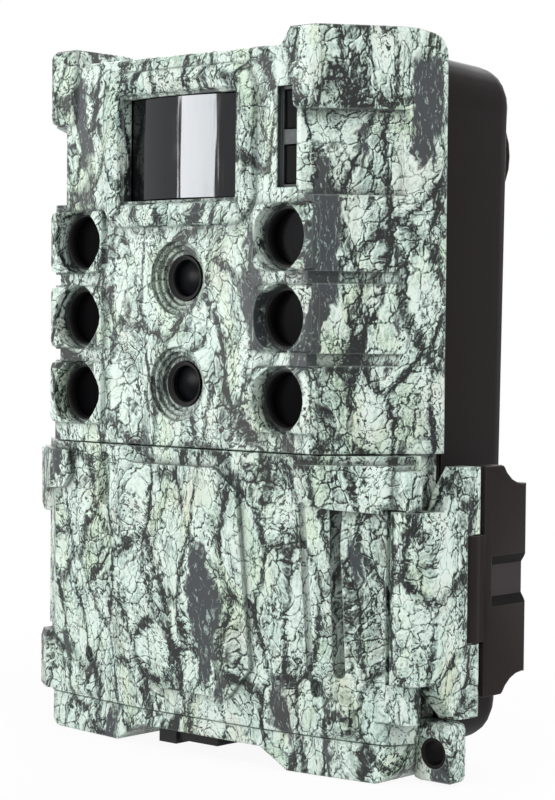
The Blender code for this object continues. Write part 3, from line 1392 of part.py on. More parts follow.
def sd_card():
    """Memory card with a clipped corner."""
    left = CARD_X - CARD_WIDTH / 2
    right = CARD_X + CARD_WIDTH / 2
    top = CARD_LOW_Z + CARD_LENGTH
    outline = [
        (left, CARD_LOW_Z),
        (right, CARD_LOW_Z),
        (right, top - CARD_CORNER),
        (right - CARD_CORNER, top),
        (left, top),
    ]
    return finish(prism("sd_card", outline, CARD_Y, CARD_Y + CARD_THICK, axis="Y"), CARD_BLUE, 0.4)


def cell_places():
    """The y and z of every cell, front layer first."""
    return [
        (CELL_FRONT_Y + layer * CELL_PITCH, CELL_LOW_Z + row * CELL_PITCH)
        for layer in range(CELL_LAYERS)
        for row in range(CELL_ROWS)
    ]


def cells():
    """Round cells on their sides, with the nubs of neighbours at opposite ends."""
    shoulder = CELL_SHOULDER
    profile = [
        (0, CELL_BODY + CELL_NUB),
        (CELL_NUB_R, CELL_BODY + CELL_NUB),
        (CELL_NUB_R, CELL_BODY),
        (CELL_R - shoulder, CELL_BODY),
        (CELL_R, CELL_BODY - shoulder),
        (CELL_R, 0),
        (0, 0),
    ]
    made = []
    for i, (y, z) in enumerate(cell_places()):
        cell = turned(f"aa_cell_{i + 1}", profile, (CELL_LEFT, y, z), axis="X")
        if i % 2:
            about = Matrix.Translation((CELL_LEFT + CELL_END, 2 * y, 0))
            cell.data.transform(about @ Matrix.Rotation(math.pi, 4, "Z"))
        made.append(finish(cell, CELL_COPPER, 0.35, 0.6))
    return made


def battery_tray():
    """Open square tray round the cells."""
    edges = (TRAY_LEFT, TRAY_LOW, TRAY_RIGHT, TRAY_TOP)
    tray = square_ring("battery_tray", *edges, TRAY_WALL, TRAY_CORNER, TRAY_FRONT, TRAY_BACK)
    return finish(tray, PANEL_GREY, 0.5)


def contacts():
    """Sprung metal strips at both ends of the cells, with a bump for each cell."""
    made = []
    low_z = TRAY_LOW + TRAY_CORNER
    high_z = TRAY_TOP - TRAY_CORNER
    front = TRAY_FRONT
    back = TRAY_BACK
    sides = (
        ("contact_left", TRAY_LEFT + TRAY_WALL + GAP, 1),
        ("contact_right", TRAY_RIGHT - TRAY_WALL - GAP, -1),
    )
    for name, wall, way in sides:
        face = wall + way * CONTACT_THICK
        ends = sorted((wall, face))
        strip = box(name, (ends[0], front, low_z), (ends[1], back, high_z))
        tip = face + way * CONTACT_BUMP
        span = sorted((wall + way * CONTACT_THICK / 2, tip))
        bumps = []
        for i, (y, z) in enumerate(cell_places()):
            middle = (max(y, front + CONTACT_BUMP_R + GAP), z)
            bumps.append(rod(f"{name}_bump_{i}", middle, CONTACT_BUMP_R, *span, "X", BUMP_SIDES))
        join(strip, group(f"{name}_bumps", *bumps))
        made.append(finish(strip, STEEL, 0.3, 1.0))
    return made


def usb_port():
    """Metal data socket that opens under the front shell."""
    low_z = FOOT_RISE + GAP
    low = (PORT_X - PORT_HALF_W, -PORT_Y - PORT_HALF_T, low_z)
    port = box("usb_port", low, (PORT_X + PORT_HALF_W, -PORT_Y + PORT_HALF_T, low_z + PORT_HEIGHT))
    mouth_x = PORT_HALF_W - PORT_SHELL
    mouth_y = PORT_HALF_T - PORT_SHELL
    mouth_low = (PORT_X - mouth_x, -PORT_Y - mouth_y, 0)
    cut(port, box("port_mouth", mouth_low, (PORT_X + mouth_x, -PORT_Y + mouth_y, low_z + PORT_HEIGHT * 0.7)))
    return finish(port, STEEL, 0.3, 1.0)


def port_cover():
    """Rubber flap under the port, with a finger tab at its free end."""
    top = FOOT_RISE - GAP
    left = PORT_X - COVER_HALF_W
    right = PORT_X + COVER_HALF_W
    cover = box("port_cover", (left, -COVER_FRONT, top - COVER_THICK), (right, -COVER_BACK, top))
    low = top - COVER_THICK - TAB_THICK
    tab_near = (left - TAB_THICK, -COVER_FRONT - TAB_THICK, low)
    tab = box("cover_tab", tab_near, (left + TAB_LENGTH, -COVER_BACK, top - GAP))
    join(cover, tab)
    return finish(cover, RUBBER, 0.7)


def main():
    """Builds every piece and hangs the moving ones on their joint axes."""
    front_shell()
    rear_shell()
    finish(gasket_ring("shell_gasket", 0), RUBBER, 0.8)
    tripod_insert()
    pir_window()
    pir_sensor()
    lamps(-1, "left", 1)
    lamps(1, "right", 1 + len(LED_ROWS))
    for word, z in zip(("day", "night"), LENS_ROWS):
        lens(word, z)
    sensor_windows()
    main_board()
    control_panel()
    control_electronics()
    battery_tray()
    contacts()
    cells()
    usb_port()

    door = lower_cover()
    seal = finish(seal_ring("door_seal", 0), RUBBER, 0.8)
    claw = latch_claw()
    lever = latch_lever()
    hinge_pin, claw_pin, lever_pin = pins()
    pivot("door_axis", (-HINGE_X, -HINGE_Y, HINGE_LOW_Z), door, seal, hinge_pin, claw_pin)
    pivot("claw_axis", (LATCH_X, -LATCH_Y, BAR_LOW), claw, lever_pin)
    pivot("lever_axis", (KNUCKLE_X, KNUCKLE_Y, TONGUE_LOW), lever)
    pivot("cover_axis", (PORT_X + COVER_HALF_W + GAP * 2, -COVER_BACK, FOOT_RISE - GAP), port_cover())
    pivot("switch_axis", (SWITCH_X, PANEL_FRONT, SWITCH_Z), power_switch())
    pivot("card_axis", (CARD_X, CARD_Y, CARD_LOW_Z), sd_card())
    places = key_places()
    for name, key in keys().items():
        x, z = places[name]
        pivot(f"{name}_axis", (x, PANEL_FRONT, z), key)


main()
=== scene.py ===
"""Visual model of a trail camera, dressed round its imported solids.

Lengths are metres in the frame of the solids: x to the right, y towards the tree and z up from the feet.
Pattern sizes and boxes of the finishes are millimetres.
"""

import logging
import math
from dataclasses import dataclass, field
from enum import Enum
from typing import Any

import bmesh
import bpy
from mathutils import Matrix, Vector

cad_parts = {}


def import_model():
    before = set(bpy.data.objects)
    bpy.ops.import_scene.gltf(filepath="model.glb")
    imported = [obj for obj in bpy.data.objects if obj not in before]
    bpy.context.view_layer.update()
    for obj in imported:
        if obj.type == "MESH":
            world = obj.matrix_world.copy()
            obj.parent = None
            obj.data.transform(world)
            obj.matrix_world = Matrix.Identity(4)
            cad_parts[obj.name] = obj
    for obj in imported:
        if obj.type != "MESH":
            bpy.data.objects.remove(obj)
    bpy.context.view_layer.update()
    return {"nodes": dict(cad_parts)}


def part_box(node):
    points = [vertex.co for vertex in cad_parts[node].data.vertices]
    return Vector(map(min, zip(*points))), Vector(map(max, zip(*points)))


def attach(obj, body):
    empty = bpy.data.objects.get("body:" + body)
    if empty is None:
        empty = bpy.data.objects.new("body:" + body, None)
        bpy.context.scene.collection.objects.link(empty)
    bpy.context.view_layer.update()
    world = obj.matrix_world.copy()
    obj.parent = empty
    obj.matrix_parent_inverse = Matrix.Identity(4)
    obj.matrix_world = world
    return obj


LOG = logging.getLogger("trail_camera")
MM = 0.001
MM_PER_METRE = 1000.0

Colour = tuple[float, float, float]
Sizes = tuple[float, float, float]
Span = tuple[float, float]
Point = tuple[float, float]
Profile = list[Point]
Tones = tuple[tuple[float, Colour], ...]
Material = bpy.types.Material
Mesh = bmesh.types.BMesh
Node = bpy.types.Node
Socket = bpy.types.NodeSocket


class Body(Enum):
    """Bodies of the camera that the added pieces ride on."""

    HOUSING = "housing"
    SWITCH = "power_switch"
    KEY_UP = "key_up"
    KEY_DOWN = "key_down"
    KEY_LEFT = "key_left"
    KEY_RIGHT = "key_right"
    KEY_OK = "key_ok"


class Slot(Enum):
    """Names of material slots, passed along with the added pieces."""

    BARK = "bark_shell"
    CASE = "case_brown"
    BLACK = "lens_black"
    STEEL = "steel"
    BRASS = "brass"
    KEY = "key_grey"


def srgb(red: float, green: float, blue: float) -> Colour:
    """Linear colour of an 8-bit screen colour.

    Args:
        red: Red level, 0 to 255.
        green: Green level, 0 to 255.
        blue: Blue level, 0 to 255.

    Returns:
        The colour in linear light.
    """
    levels = []
    for level in (red, green, blue):
        share = level / 255
        levels.append(share / 12.92 if share <= 0.04045 else ((share + 0.055) / 1.055) ** 2.4)
    return levels[0], levels[1], levels[2]


class Canvas:
    """Node tree of a material or a world, with short calls for the nodes that the finishes share."""

    RAYS = 4
    FLAT = 0.985
    SHARP = 0.8

    def __init__(self, name: str, world: bpy.types.World | None = None) -> None:
        """Start an empty node tree.

        Args:
            name: Name of the material.
            world: The world that takes the nodes instead of a material.
        """
        self.owner = world or bpy.data.materials.new(name)
        self.owner.use_nodes = True
        self.tree = self.owner.node_tree
        self.tree.nodes.clear()

    def feed(self, socket: Socket, value: Any) -> None:
        """Link a socket to another, or set its value.

        Args:
            socket: The input to feed.
            value: An output socket, a number or a colour.
        """
        if isinstance(value, Socket):
            self.tree.links.new(value, socket)
        elif socket.type == "RGBA":
            socket.default_value = (*value, 1.0)
        else:
            socket.default_value = value

    def add(self, kind: str, *first: Any, feeds: dict[str, Any] | None = None, **settings: Any) -> Node:
        """Add a node.

        Args:
            kind: Node type.
            *first: What its first inputs take, in their order.
            feeds: What other inputs take, by name.
            **settings: Properties of the node.

        Returns:
            The new node.
        """
        node = self.tree.nodes.new(kind)
        for key, value in settings.items():
            setattr(node, key, value)
        for socket, value in zip(node.inputs, first):
            self.feed(socket, value)
        for name, value in (feeds or {}).items():
            self.feed(node.inputs[name], value)
        return node

    def math(self, operation: str, first: Any, second: Any = 0.0) -> Socket:
        """One arithmetic step."""
        return self.add("ShaderNodeMath", first, second, operation=operation).outputs[0]

    def scale(self, value: Any, factor: float) -> Socket:
        """A value times a constant."""
        return self.math("MULTIPLY", value, factor)

    def spread(self, value: Any, start: float, span: float) -> Socket:
        """A value from 0 to 1, spread from a start over a span."""
        return self.math("ADD", self.scale(value, span), start)

    def vector(self, operation: str, *operands: Any) -> Socket:
        """One arithmetic step on vectors."""
        return self.add("ShaderNodeVectorMath", *operands, operation=operation).outputs[0]

    def measure(self, operation: str, *operands: Any) -> Socket:
        """A number worked out from vectors."""
        return self.add("ShaderNodeVectorMath", *operands, operation=operation).outputs["Value"]

    def split(self, place: Any) -> tuple[Socket, ...]:
        """The three coordinates of a place."""
        return tuple(self.add("ShaderNodeSeparateXYZ", place).outputs)

    def position(self) -> Socket:
        """Place on the piece, in millimetres of its own frame."""
        here = self.add("ShaderNodeTexCoord").outputs["Object"]
        return self.vector("MULTIPLY", here, (MM_PER_METRE,) * 3)

    def noise(self, place: Any, sizes: Sizes, detail: float = 2.0, rough: float = 0.5) -> Node:
        """Cloud noise whose lumps have the given sizes.

        Args:
            place: Where the noise is read.
            sizes: Lump size along each axis.
            detail: Octaves.
            rough: Weight of the finer octaves.

        Returns:
            The noise node.
        """
        at = self.vector("DIVIDE", place, sizes)
        feeds = {"Vector": at, "Scale": 1.0, "Detail": detail, "Roughness": rough}
        return self.add("ShaderNodeTexNoise", feeds=feeds)

    def level(self, place: Any, sizes: Sizes, detail: float = 2.0, rough: float = 0.5) -> Socket:
        """The value of cloud noise, with the arguments of noise."""
        return self.noise(place, sizes, detail, rough).outputs["Fac"]

    def wobble(self, place: Any, sizes: Sizes, reach: float, detail: float = 2.0) -> Socket:
        """A place pushed about by cloud noise.

        Args:
            place: The place to push.
            sizes: Lump size along each axis.
            reach: Greatest push.
            detail: Octaves.

        Returns:
            The pushed place.
        """
        push = self.vector("SUBTRACT", self.noise(place, sizes, detail).outputs["Color"], (0.5,) * 3)
        return self.vector("ADD", place, self.vector("MULTIPLY", push, (2 * reach,) * 3))

    def cells(self, place: Any, sizes: Sizes, **settings: Any) -> Socket:
        """Distances in a pattern of cells.

        Args:
            place: Where the pattern is read.
            sizes: Cell size along each axis.
            **settings: Properties of the cell node, such as what it measures.

        Returns:
            The distance.
        """
        feeds = {"Vector": self.vector("DIVIDE", place, sizes), "Scale": 1.0}
        return self.add("ShaderNodeTexVoronoi", feeds=feeds, **settings).outputs["Distance"]

    def graded(self, value: Any, span: Span, levels: Span, curve: str = "LINEAR") -> Socket:
        """A value brought from a span to two levels."""
        node = self.add("ShaderNodeMapRange", value, *span, *levels, interpolation_type=curve)
        return node.outputs["Result"]

    def step(self, value: Any, low: float, high: float, curve: str = "SMOOTHSTEP") -> Socket:
        """Step from 0 at low to 1 at high; low may lie above high.

        Args:
            value: The value to grade.
            low: Where the step is 0.
            high: Where the step is 1.
            curve: How the step rises.

        Returns:
            The graded value.
        """
        if low < high:
            return self.graded(value, (low, high), (0.0, 1.0), curve)
        return self.graded(value, (high, low), (1.0, 0.0), curve)

    def blend(self, share: Any, first: Any, second: Any, mode: str = "MIX") -> Socket:
        """Two colours mixed.

        Args:
            share: Weight of the second colour.
            first: First colour.
            second: Second colour.
            mode: Blend mode.

        Returns:
            The mixed colour.
        """
        node = self.add("ShaderNodeMix", share, data_type="RGBA", blend_type=mode)
        colours = [socket for socket in node.inputs if socket.type == "RGBA"]
        self.feed(colours[0], first)
        self.feed(colours[1], second)
        return next(socket for socket in node.outputs if socket.type == "RGBA")

    def ramp(self, value: Any, stops: Tones) -> Socket:
        """Colours along a scale from 0 to 1.

        Args:
            value: Place on the scale.
            stops: Places and their colours, in order.

        Returns:
            The colour.
        """
        node = self.add("ShaderNodeValToRGB", value)
        for place, _ in stops[2:]:
            node.color_ramp.elements.new(place)
        for element, (place, colour) in zip(node.color_ramp.elements, stops):
            element.position = place
            element.color = (*colour, 1.0)
        return node.outputs[0]

    def inside(self, place: Any, low: Sizes, high: Sizes) -> Socket:
        """Whether a place lies in a box.

        Args:
            place: The place.
            low: Lowest corner of the box.
            high: Highest corner of the box.

        Returns:
            1 inside and 0 outside.
        """
        middle = tuple((a + b) / 2 for a, b in zip(low, high))
        half = tuple((b - a) / 2 for a, b in zip(low, high))
        away = self.vector("ABSOLUTE", self.vector("SUBTRACT", place, middle))
        across, deep, tall = self.split(self.vector("SUBTRACT", away, half))
        worst = self.math("MAXIMUM", self.math("MAXIMUM", across, deep), tall)
        return self.math("LESS_THAN", worst, 0.0)

    def rounded(self, radius: float) -> Socket:
        """Surface normal with its edges rounded to a radius in metres."""
        return self.add("ShaderNodeBevel", feeds={"Radius": radius}, samples=self.RAYS).outputs[0]

    def edge_mask(self, normal: Any) -> Socket:
        """Where a rounded normal leaves the true one: 0 on flats, towards 1 along edges."""
        flat = self.add("ShaderNodeNewGeometry").outputs["True Normal"]
        return self.step(self.measure("DOT_PRODUCT", normal, flat), self.FLAT, self.SHARP)

    def hollow(self, reach: float) -> Socket:
        """How deep a place lies in a hollow of its piece, where shade is painted in.

        Args:
            reach: How far off the sides of a hollow still count, in metres.

        Returns:
            0 on open faces, towards 1 in hollows.
        """
        feeds = {"Distance": reach}
        node = self.add("ShaderNodeAmbientOcclusion", feeds=feeds, samples=self.RAYS, only_local=True)
        return self.math("SUBTRACT", 1.0, node.outputs["AO"])

    def bump(self, height: Any, depth: float, strength: float = 1.0, normal: Any = None) -> Socket:
        """Surface normal of a relief.

        Args:
            height: Relief, 0 to 1.
            depth: Depth of the relief in metres.
            strength: Weight of the relief.
            normal: Normal under the relief.

        Returns:
            The normal.
        """
        feeds = {"Strength": strength, "Distance": depth, "Height": height}
        if normal is not None:
            feeds["Normal"] = normal
        return self.add("ShaderNodeBump", feeds=feeds).outputs["Normal"]

    def seen(self) -> Socket:
        """Whether a ray comes from the camera, a mirror or glass.

        Returns:
            1 for such a ray and 0 for any other.
        """
        ray = self.add("ShaderNodeLightPath").outputs
        found = self.math("MAXIMUM", ray["Is Camera Ray"], ray["Is Glossy Ray"])
        return self.math("MAXIMUM", found, ray["Is Transmission Ray"])

    def choose(self, share: Any, first: Node, second: Node, output: str) -> None:
        """Close the tree with two shaders; the share is the second one's weight."""
        mixed = self.add("ShaderNodeMixShader", share, first.outputs[0], second.outputs[0])
        self.add(output, mixed.outputs[0])

    def finish(self, **inputs: Any) -> Material:
        """Close the material with a Principled shader.

        Args:
            **inputs: Shader inputs, with underscores for spaces.

        Returns:
            The material.
        """
        feeds = {key.replace("_", " "): value for key, value in inputs.items()}
        shader = self.add("ShaderNodeBsdfPrincipled", feeds=feeds)
        self.add("ShaderNodeOutputMaterial", shader.outputs[0])
        return self.owner


@dataclass(frozen=True)
class DoorLining:
    """Inner side of the door, which the print leaves bare. Sizes are millimetres."""

    colour: Colour = srgb(36, 31, 31)
    shade: Colour = srgb(30, 26, 26)
    centre: Sizes = (0.0, -16.25, 35.0)
    lean: float = -0.1245
    foot: float = -21.9
    crown: float = 1.6
    crown_half: float = 36.0
    wall: float = 1.95
    facing: float = -0.3
    low: Sizes = (-42.9, -30.0, 10.3)
    high: Sizes = (42.9, -13.6, 59.5)

    def share(self, art: Canvas, here: Any) -> Socket:
        """Where the bare side shows.

        Args:
            art: The material's canvas.
            here: The place on the door.

        Returns:
            1 on the inner side and 0 outside.
        """
        across, deep, tall = art.split(here)
        face = art.spread(tall, self.foot, self.lean)
        bow = art.math("POWER", art.scale(art.math("ABSOLUTE", across), 1 / self.crown_half), 2.0)
        face = art.math("ADD", face, art.scale(bow, self.crown))
        under = art.math("GREATER_THAN", art.math("SUBTRACT", deep, face), self.wall)
        normal = art.add("ShaderNodeTexCoord").outputs["Normal"]
        inward = art.measure("DOT_PRODUCT", art.vector("SUBTRACT", here, self.centre), normal)
        turned_in = art.math("LESS_THAN", inward, self.facing)
        within = art.inside(here, self.low, self.high)
        return art.math("MULTIPLY", within, art.math("MULTIPLY", under, turned_in))


@dataclass(frozen=True)
class BarkPrint:
    """Printed film of pale bark with dark fissures, laid over moulded plastic."""

    DARK, DIM, PALE, BRIGHT = 1, 2, 4, 5

    name: str = "bark_print"
    lining: DoorLining | None = None
    tones: Tones = (
        (0.0, srgb(20, 24, 24)),
        (0.1, srgb(46, 52, 51)),
        (0.22, srgb(90, 100, 96)),
        (0.38, srgb(136, 153, 145)),
        (0.55, srgb(176, 196, 186)),
        (0.75, srgb(203, 222, 212)),
        (1.0, srgb(229, 242, 234)),
    )
    tints: tuple[tuple[Colour, Sizes], ...] = (
        (srgb(236, 240, 200), (7.0, 7.0, 15.0)),
        (srgb(246, 226, 218), (9.0, 9.0, 12.0)),
        (srgb(228, 244, 247), (8.0, 8.0, 20.0)),
    )
    tint_step: Span = (0.5, 0.72)
    tint_share: float = 0.4
    charcoal: Colour = srgb(62, 66, 69)
    sway: Sizes = (13.0, 13.0, 24.0)
    sway_reach: float = 5.0
    tear: Sizes = (1.8, 1.8, 2.2)
    tear_reach: float = 1.3
    plate: Sizes = (8.5, 8.5, 19.0)
    plate_edge: float = 0.12
    plate_rise: float = 0.24
    crack: Sizes = (2.6, 2.6, 3.4)
    crack_edge: float = 0.09
    crack_rise: float = 0.18
    mass: Sizes = (4.0, 4.0, 11.0)
    mass_rise: float = 0.85
    broad: Sizes = (9.0, 9.0, 17.0)
    broad_rise: float = 0.4
    grain: Sizes = (0.55, 0.55, 0.8)
    grain_rise: float = 0.42
    shaded_side: Sizes = (0.22, 0.22, -0.22)
    emboss: float = 1.5
    lit: Span = (0.94, 1.33)
    fleck: Sizes = (0.5, 0.5, 0.75)
    fleck_step: Span = (0.57, 0.63)
    crowd: Sizes = (6.0, 6.0, 11.0)
    crowd_step: Span = (0.42, 0.6)
    bare: Sizes = (10.0, 10.0, 38.0)
    bare_step: Span = (0.6, 0.63)
    streak: Sizes = (0.5, 0.5, 3.0)
    streak_step: Span = (0.56, 0.7)
    streak_share: float = 0.8
    # Box of the sensor channel, whose recess gets painted shade.
    channel: tuple[Sizes, Sizes] = ((25.6, -28.8, 112.6), (31.2, -18.0, 132.2))
    edge: float = 0.0005
    # Weight of the lightening along edges, which is partly wear and partly a painted highlight.
    wear_and_highlight_share: float = 0.3
    hollow: float = 0.0025
    # Painted shade in hollows: its grading and its weight.
    hollow_shade_step: Span = (0.06, 0.5)
    hollow_shade_share: float = 0.85
    mottle: Sizes = (0.5, 0.5, 0.5)
    fine: Sizes = (0.6, 0.6, 0.6)
    rough: Span = (0.38, 0.16)
    specular: float = 0.35
    relief: float = 0.00002
    relief_share: float = 0.3

    def tone(self, number: int) -> Colour:
        """One of the colours of the bark."""
        return self.tones[number][1]

    def swayed(self, art: Canvas, place: Any) -> Socket:
        """A place pushed about in broad waves, as the trunk grows."""
        return art.wobble(place, self.sway, self.sway_reach, detail=1.0)

    def torn(self, art: Canvas, place: Any) -> Socket:
        """A swayed place pushed about in short jags, as the bark tears."""
        return art.wobble(self.swayed(art, place), self.tear, self.tear_reach, detail=4.0)

    def height(self, art: Canvas, place: Any) -> Socket:
        """How far the pictured bark stands out.

        Args:
            art: The material's canvas.
            place: Where it is read.

        Returns:
            The height.
        """
        swayed = self.swayed(art, place)
        torn = self.torn(art, place)
        plates = art.cells(torn, self.plate, feature="DISTANCE_TO_EDGE")
        cracks = art.cells(torn, self.crack, feature="DISTANCE_TO_EDGE")
        layers = (
            (art.step(plates, 0.0, self.plate_edge), self.plate_rise),
            (art.step(cracks, 0.0, self.crack_edge), self.crack_rise),
            (art.level(swayed, self.mass, detail=5.0, rough=0.62), self.mass_rise),
            (art.level(swayed, self.broad, detail=1.0), self.broad_rise),
            (art.level(torn, self.grain, detail=2.0, rough=0.7), self.grain_rise),
        )
        total: Any = 0.0
        for layer, weight in layers:
            total = art.math("ADD", total, art.scale(layer, weight))
        return total

    def build(self) -> Material:
        """The bark material.

        Returns:
            The material.
        """
        art = Canvas(self.name)
        here = art.position()
        swayed = self.swayed(art, here)
        torn = self.torn(art, here)
        height = self.height(art, here)
        beside = self.height(art, art.vector("ADD", here, self.shaded_side))
        slope = art.math("SUBTRACT", height, beside)
        lit = art.math("SUBTRACT", height, art.scale(slope, self.emboss))
        colour = art.ramp(art.step(lit, *self.lit, "LINEAR"), self.tones)
        crowd = art.step(art.level(swayed, self.crowd), *self.crowd_step)
        flecks = art.step(art.level(torn, self.fleck, detail=1.0), *self.fleck_step)
        colour = art.blend(art.math("MULTIPLY", flecks, crowd), colour, self.tone(self.DARK))

        bare = art.step(art.level(torn, self.bare, detail=3.0), *self.bare_step)
        streak = art.step(art.level(torn, self.streak, detail=3.0), *self.streak_step)
        smooth = art.blend(art.scale(streak, self.streak_share), self.charcoal, self.tone(self.PALE))
        colour = art.blend(bare, colour, smooth)
        for tint, sizes in self.tints:
            apart = art.vector("ADD", swayed, (9 * sizes[0], 3 * sizes[2], 0.0))
            share = art.scale(art.step(art.level(apart, sizes), *self.tint_step), self.tint_share)
            colour = art.blend(share, colour, tint, "MULTIPLY")

        # Painted shade: the print inside the sensor channel darkened to charcoal.
        channel_shade = art.blend(streak, self.charcoal, self.tone(self.DIM))
        colour = art.blend(art.inside(here, *self.channel), colour, channel_shade)
        round_normal = art.rounded(self.edge)
        # Lighter along edges: partly worn print, partly a painted highlight.
        wear_and_highlight = art.scale(art.edge_mask(round_normal), self.wear_and_highlight_share)
        colour = art.blend(wear_and_highlight, colour, self.tone(self.BRIGHT))
        if self.lining:
            mottle = art.level(here, self.mottle, detail=3.0)
            plain = art.blend(mottle, self.lining.shade, self.lining.colour)
            colour = art.blend(self.lining.share(art, here), colour, plain)
        # Painted shade: colour darkened in the piece's hollows.
        hollow_shade = art.step(art.hollow(self.hollow), *self.hollow_shade_step)
        colour = art.blend(art.scale(hollow_shade, self.hollow_shade_share), colour, self.tone(self.DARK))
        fine = art.level(here, self.fine)
        return art.finish(
            Base_Color=colour,
            Roughness=art.spread(fine, *self.rough),
            Specular_IOR_Level=self.specular,
            Normal=art.bump(fine, self.relief, self.relief_share, round_normal),
        )


@dataclass(frozen=True)
class ThumbGroove:
    """Groove across the lever: painted shade on its two slopes and a painted highlight on its floor.
    Millimetres.
    """

    # floor is a painted highlight and slope a painted shade.
    floor: Colour = srgb(62, 57, 58)
    slope: Colour = srgb(9, 7, 7)
    low: Sizes = (55.9, -1.7, 33.2)
    high: Sizes = (57.36, 9.9, 43.0)
    run: float = 1.9

    def tone(self, art: Canvas, here: Any, colour: Any) -> Socket:
        """Paint shade on the groove's slopes and a highlight on its floor.

        Args:
            art: The material's canvas.
            here: The place on the lever.
            colour: The plastic's own colour.

        Returns:
            The colour.
        """
        floor_low = (*self.low[:2], self.low[2] + self.run)
        floor_high = (*self.high[:2], self.high[2] - self.run)
        # Painted shade on the slopes, then a painted highlight on the floor between them.
        colour = art.blend(art.inside(here, self.low, self.high), colour, self.slope)
        return art.blend(art.inside(here, floor_low, floor_high), colour, self.floor)


@dataclass(frozen=True)
class MouldedPlastic:
    """Plastic with a fine spark-eroded texture, a faint drift of tone, and edges lightened partly as wear and
    partly as a painted highlight.
    """

    name: str
    colour: Colour
    shade: Colour
    grain: float = 0.32
    depth: float = 0.00004
    rough_low: float = 0.42
    rough_range: float = 0.2
    specular: float = 0.3
    edge: float = 0.0004
    # Lightening along edges, partly wear and partly a painted highlight: its weight and its tone.
    wear_and_highlight: float = 0.25
    wear_and_highlight_tone: Colour = srgb(190, 186, 184)
    hollow: float = 0.003
    # Painted shade in hollows: its colour, grading and weight.
    hollow_shade: Colour = srgb(8, 7, 7)
    hollow_shade_step: Span = (0.05, 0.6)
    hollow_shade_share: float = 0.8
    drift: Sizes = (9.0, 9.0, 14.0)
    grain_weight: float = 0.45
    drift_weight: float = 0.55
    mottle_step: Span = (0.34, 0.66)
    relief_share: float = 0.7
    groove: ThumbGroove | None = None

    def build(self) -> Material:
        """The plastic.

        Returns:
            The material.
        """
        art = Canvas(self.name)
        here = art.position()
        fine = art.level(here, (self.grain,) * 3, detail=3.0, rough=0.6)
        drift = art.level(here, self.drift, detail=4.0, rough=0.6)
        mottled = art.math("ADD", art.scale(fine, self.grain_weight), art.scale(drift, self.drift_weight))
        colour = art.blend(art.step(mottled, *self.mottle_step), self.shade, self.colour)
        # Painted shade and highlight in the lever's groove.
        if self.groove:
            colour = self.groove.tone(art, here, colour)
        round_normal = art.rounded(self.edge)
        # Lighter along edges: partly rubbed wear, partly a painted highlight.
        wear_and_highlight_mask = art.math("MULTIPLY", art.edge_mask(round_normal), art.scale(drift, self.wear_and_highlight))
        colour = art.blend(wear_and_highlight_mask, colour, self.wear_and_highlight_tone)
        # Painted shade: colour darkened in the piece's hollows.
        hollow_shade = art.step(art.hollow(self.hollow), *self.hollow_shade_step)
        return art.finish(
            Base_Color=art.blend(art.scale(hollow_shade, self.hollow_shade_share), colour, self.hollow_shade),
            Roughness=art.spread(drift, self.rough_low, self.rough_range),
            Specular_IOR_Level=self.specular,
            Normal=art.bump(fine, self.depth, self.relief_share, round_normal),
        )


@dataclass(frozen=True)
class DarkWindow:
    """Glossy smoked plastic that passes infrared and looks nearly black."""

    name: str
    colour: Colour = srgb(19, 18, 20)
    shade: Colour = srgb(12, 11, 12)
    polish: float = 0.04
    smear: float = 0.05
    smear_step: Span = (0.4, 0.75)
    specular: float = 0.5
    sheen: Colour = (0.92, 0.96, 1.0)
    haze: Sizes = (6.0, 6.0, 9.0)
    wave: Sizes = (3.0, 3.0, 34.0)
    ripple: float = 0.0

    def build(self) -> Material:
        """The window.

        Returns:
            The material.
        """
        art = Canvas(self.name)
        here = art.position()
        haze = art.level(here, self.haze, detail=4.0, rough=0.6)
        return art.finish(
            Base_Color=art.blend(haze, self.shade, self.colour),
            Roughness=art.spread(art.step(haze, *self.smear_step), self.polish, self.smear),
            Specular_IOR_Level=self.specular,
            Specular_Tint=self.sheen,
            Normal=art.bump(art.level(here, self.wave), self.ripple),
        )


@dataclass(frozen=True)
class CoatedGlass:
    """Lens glass with a thin reflection-cutting coat over a dark barrel."""

    name: str = "lens_glass"
    colour: Colour = srgb(14, 16, 20)
    shade: Colour = srgb(8, 8, 10)
    cloud: Sizes = (2.0, 2.0, 2.0)
    rough: Span = (0.24, 0.06)
    specular: float = 0.04

    def build(self) -> Material:
        """The glass.

        Returns:
            The material.
        """
        art = Canvas(self.name)
        depth = art.level(art.position(), self.cloud)
        return art.finish(
            Base_Color=art.blend(depth, self.shade, self.colour),
            Roughness=art.spread(depth, *self.rough),
            Specular_IOR_Level=self.specular,
        )


@dataclass(frozen=True)
class Metal:
    """Turned or pressed metal with fine tool marks."""

    name: str
    colour: Colour
    stain: Colour
    marks: Sizes = (0.25, 0.25, 2.0)
    rough: float = 0.24
    rough_range: float = 0.22
    spot: Sizes = (3.0, 3.0, 3.0)
    spot_step: Span = (0.55, 0.8)
    spot_share: float = 0.6
    relief: float = 0.00002
    relief_share: float = 0.4

    def build(self) -> Material:
        """The metal.

        Returns:
            The material.
        """
        art = Canvas(self.name)
        here = art.position()
        lines = art.level(here, self.marks, detail=3.0, rough=0.6)
        spots = art.step(art.level(here, self.spot, detail=3.0), *self.spot_step)
        return art.finish(
            Base_Color=art.blend(art.scale(spots, self.spot_share), self.colour, self.stain),
            Metallic=1.0,
            Roughness=art.spread(lines, self.rough, self.rough_range),
            Normal=art.bump(lines, self.relief, self.relief_share),
        )


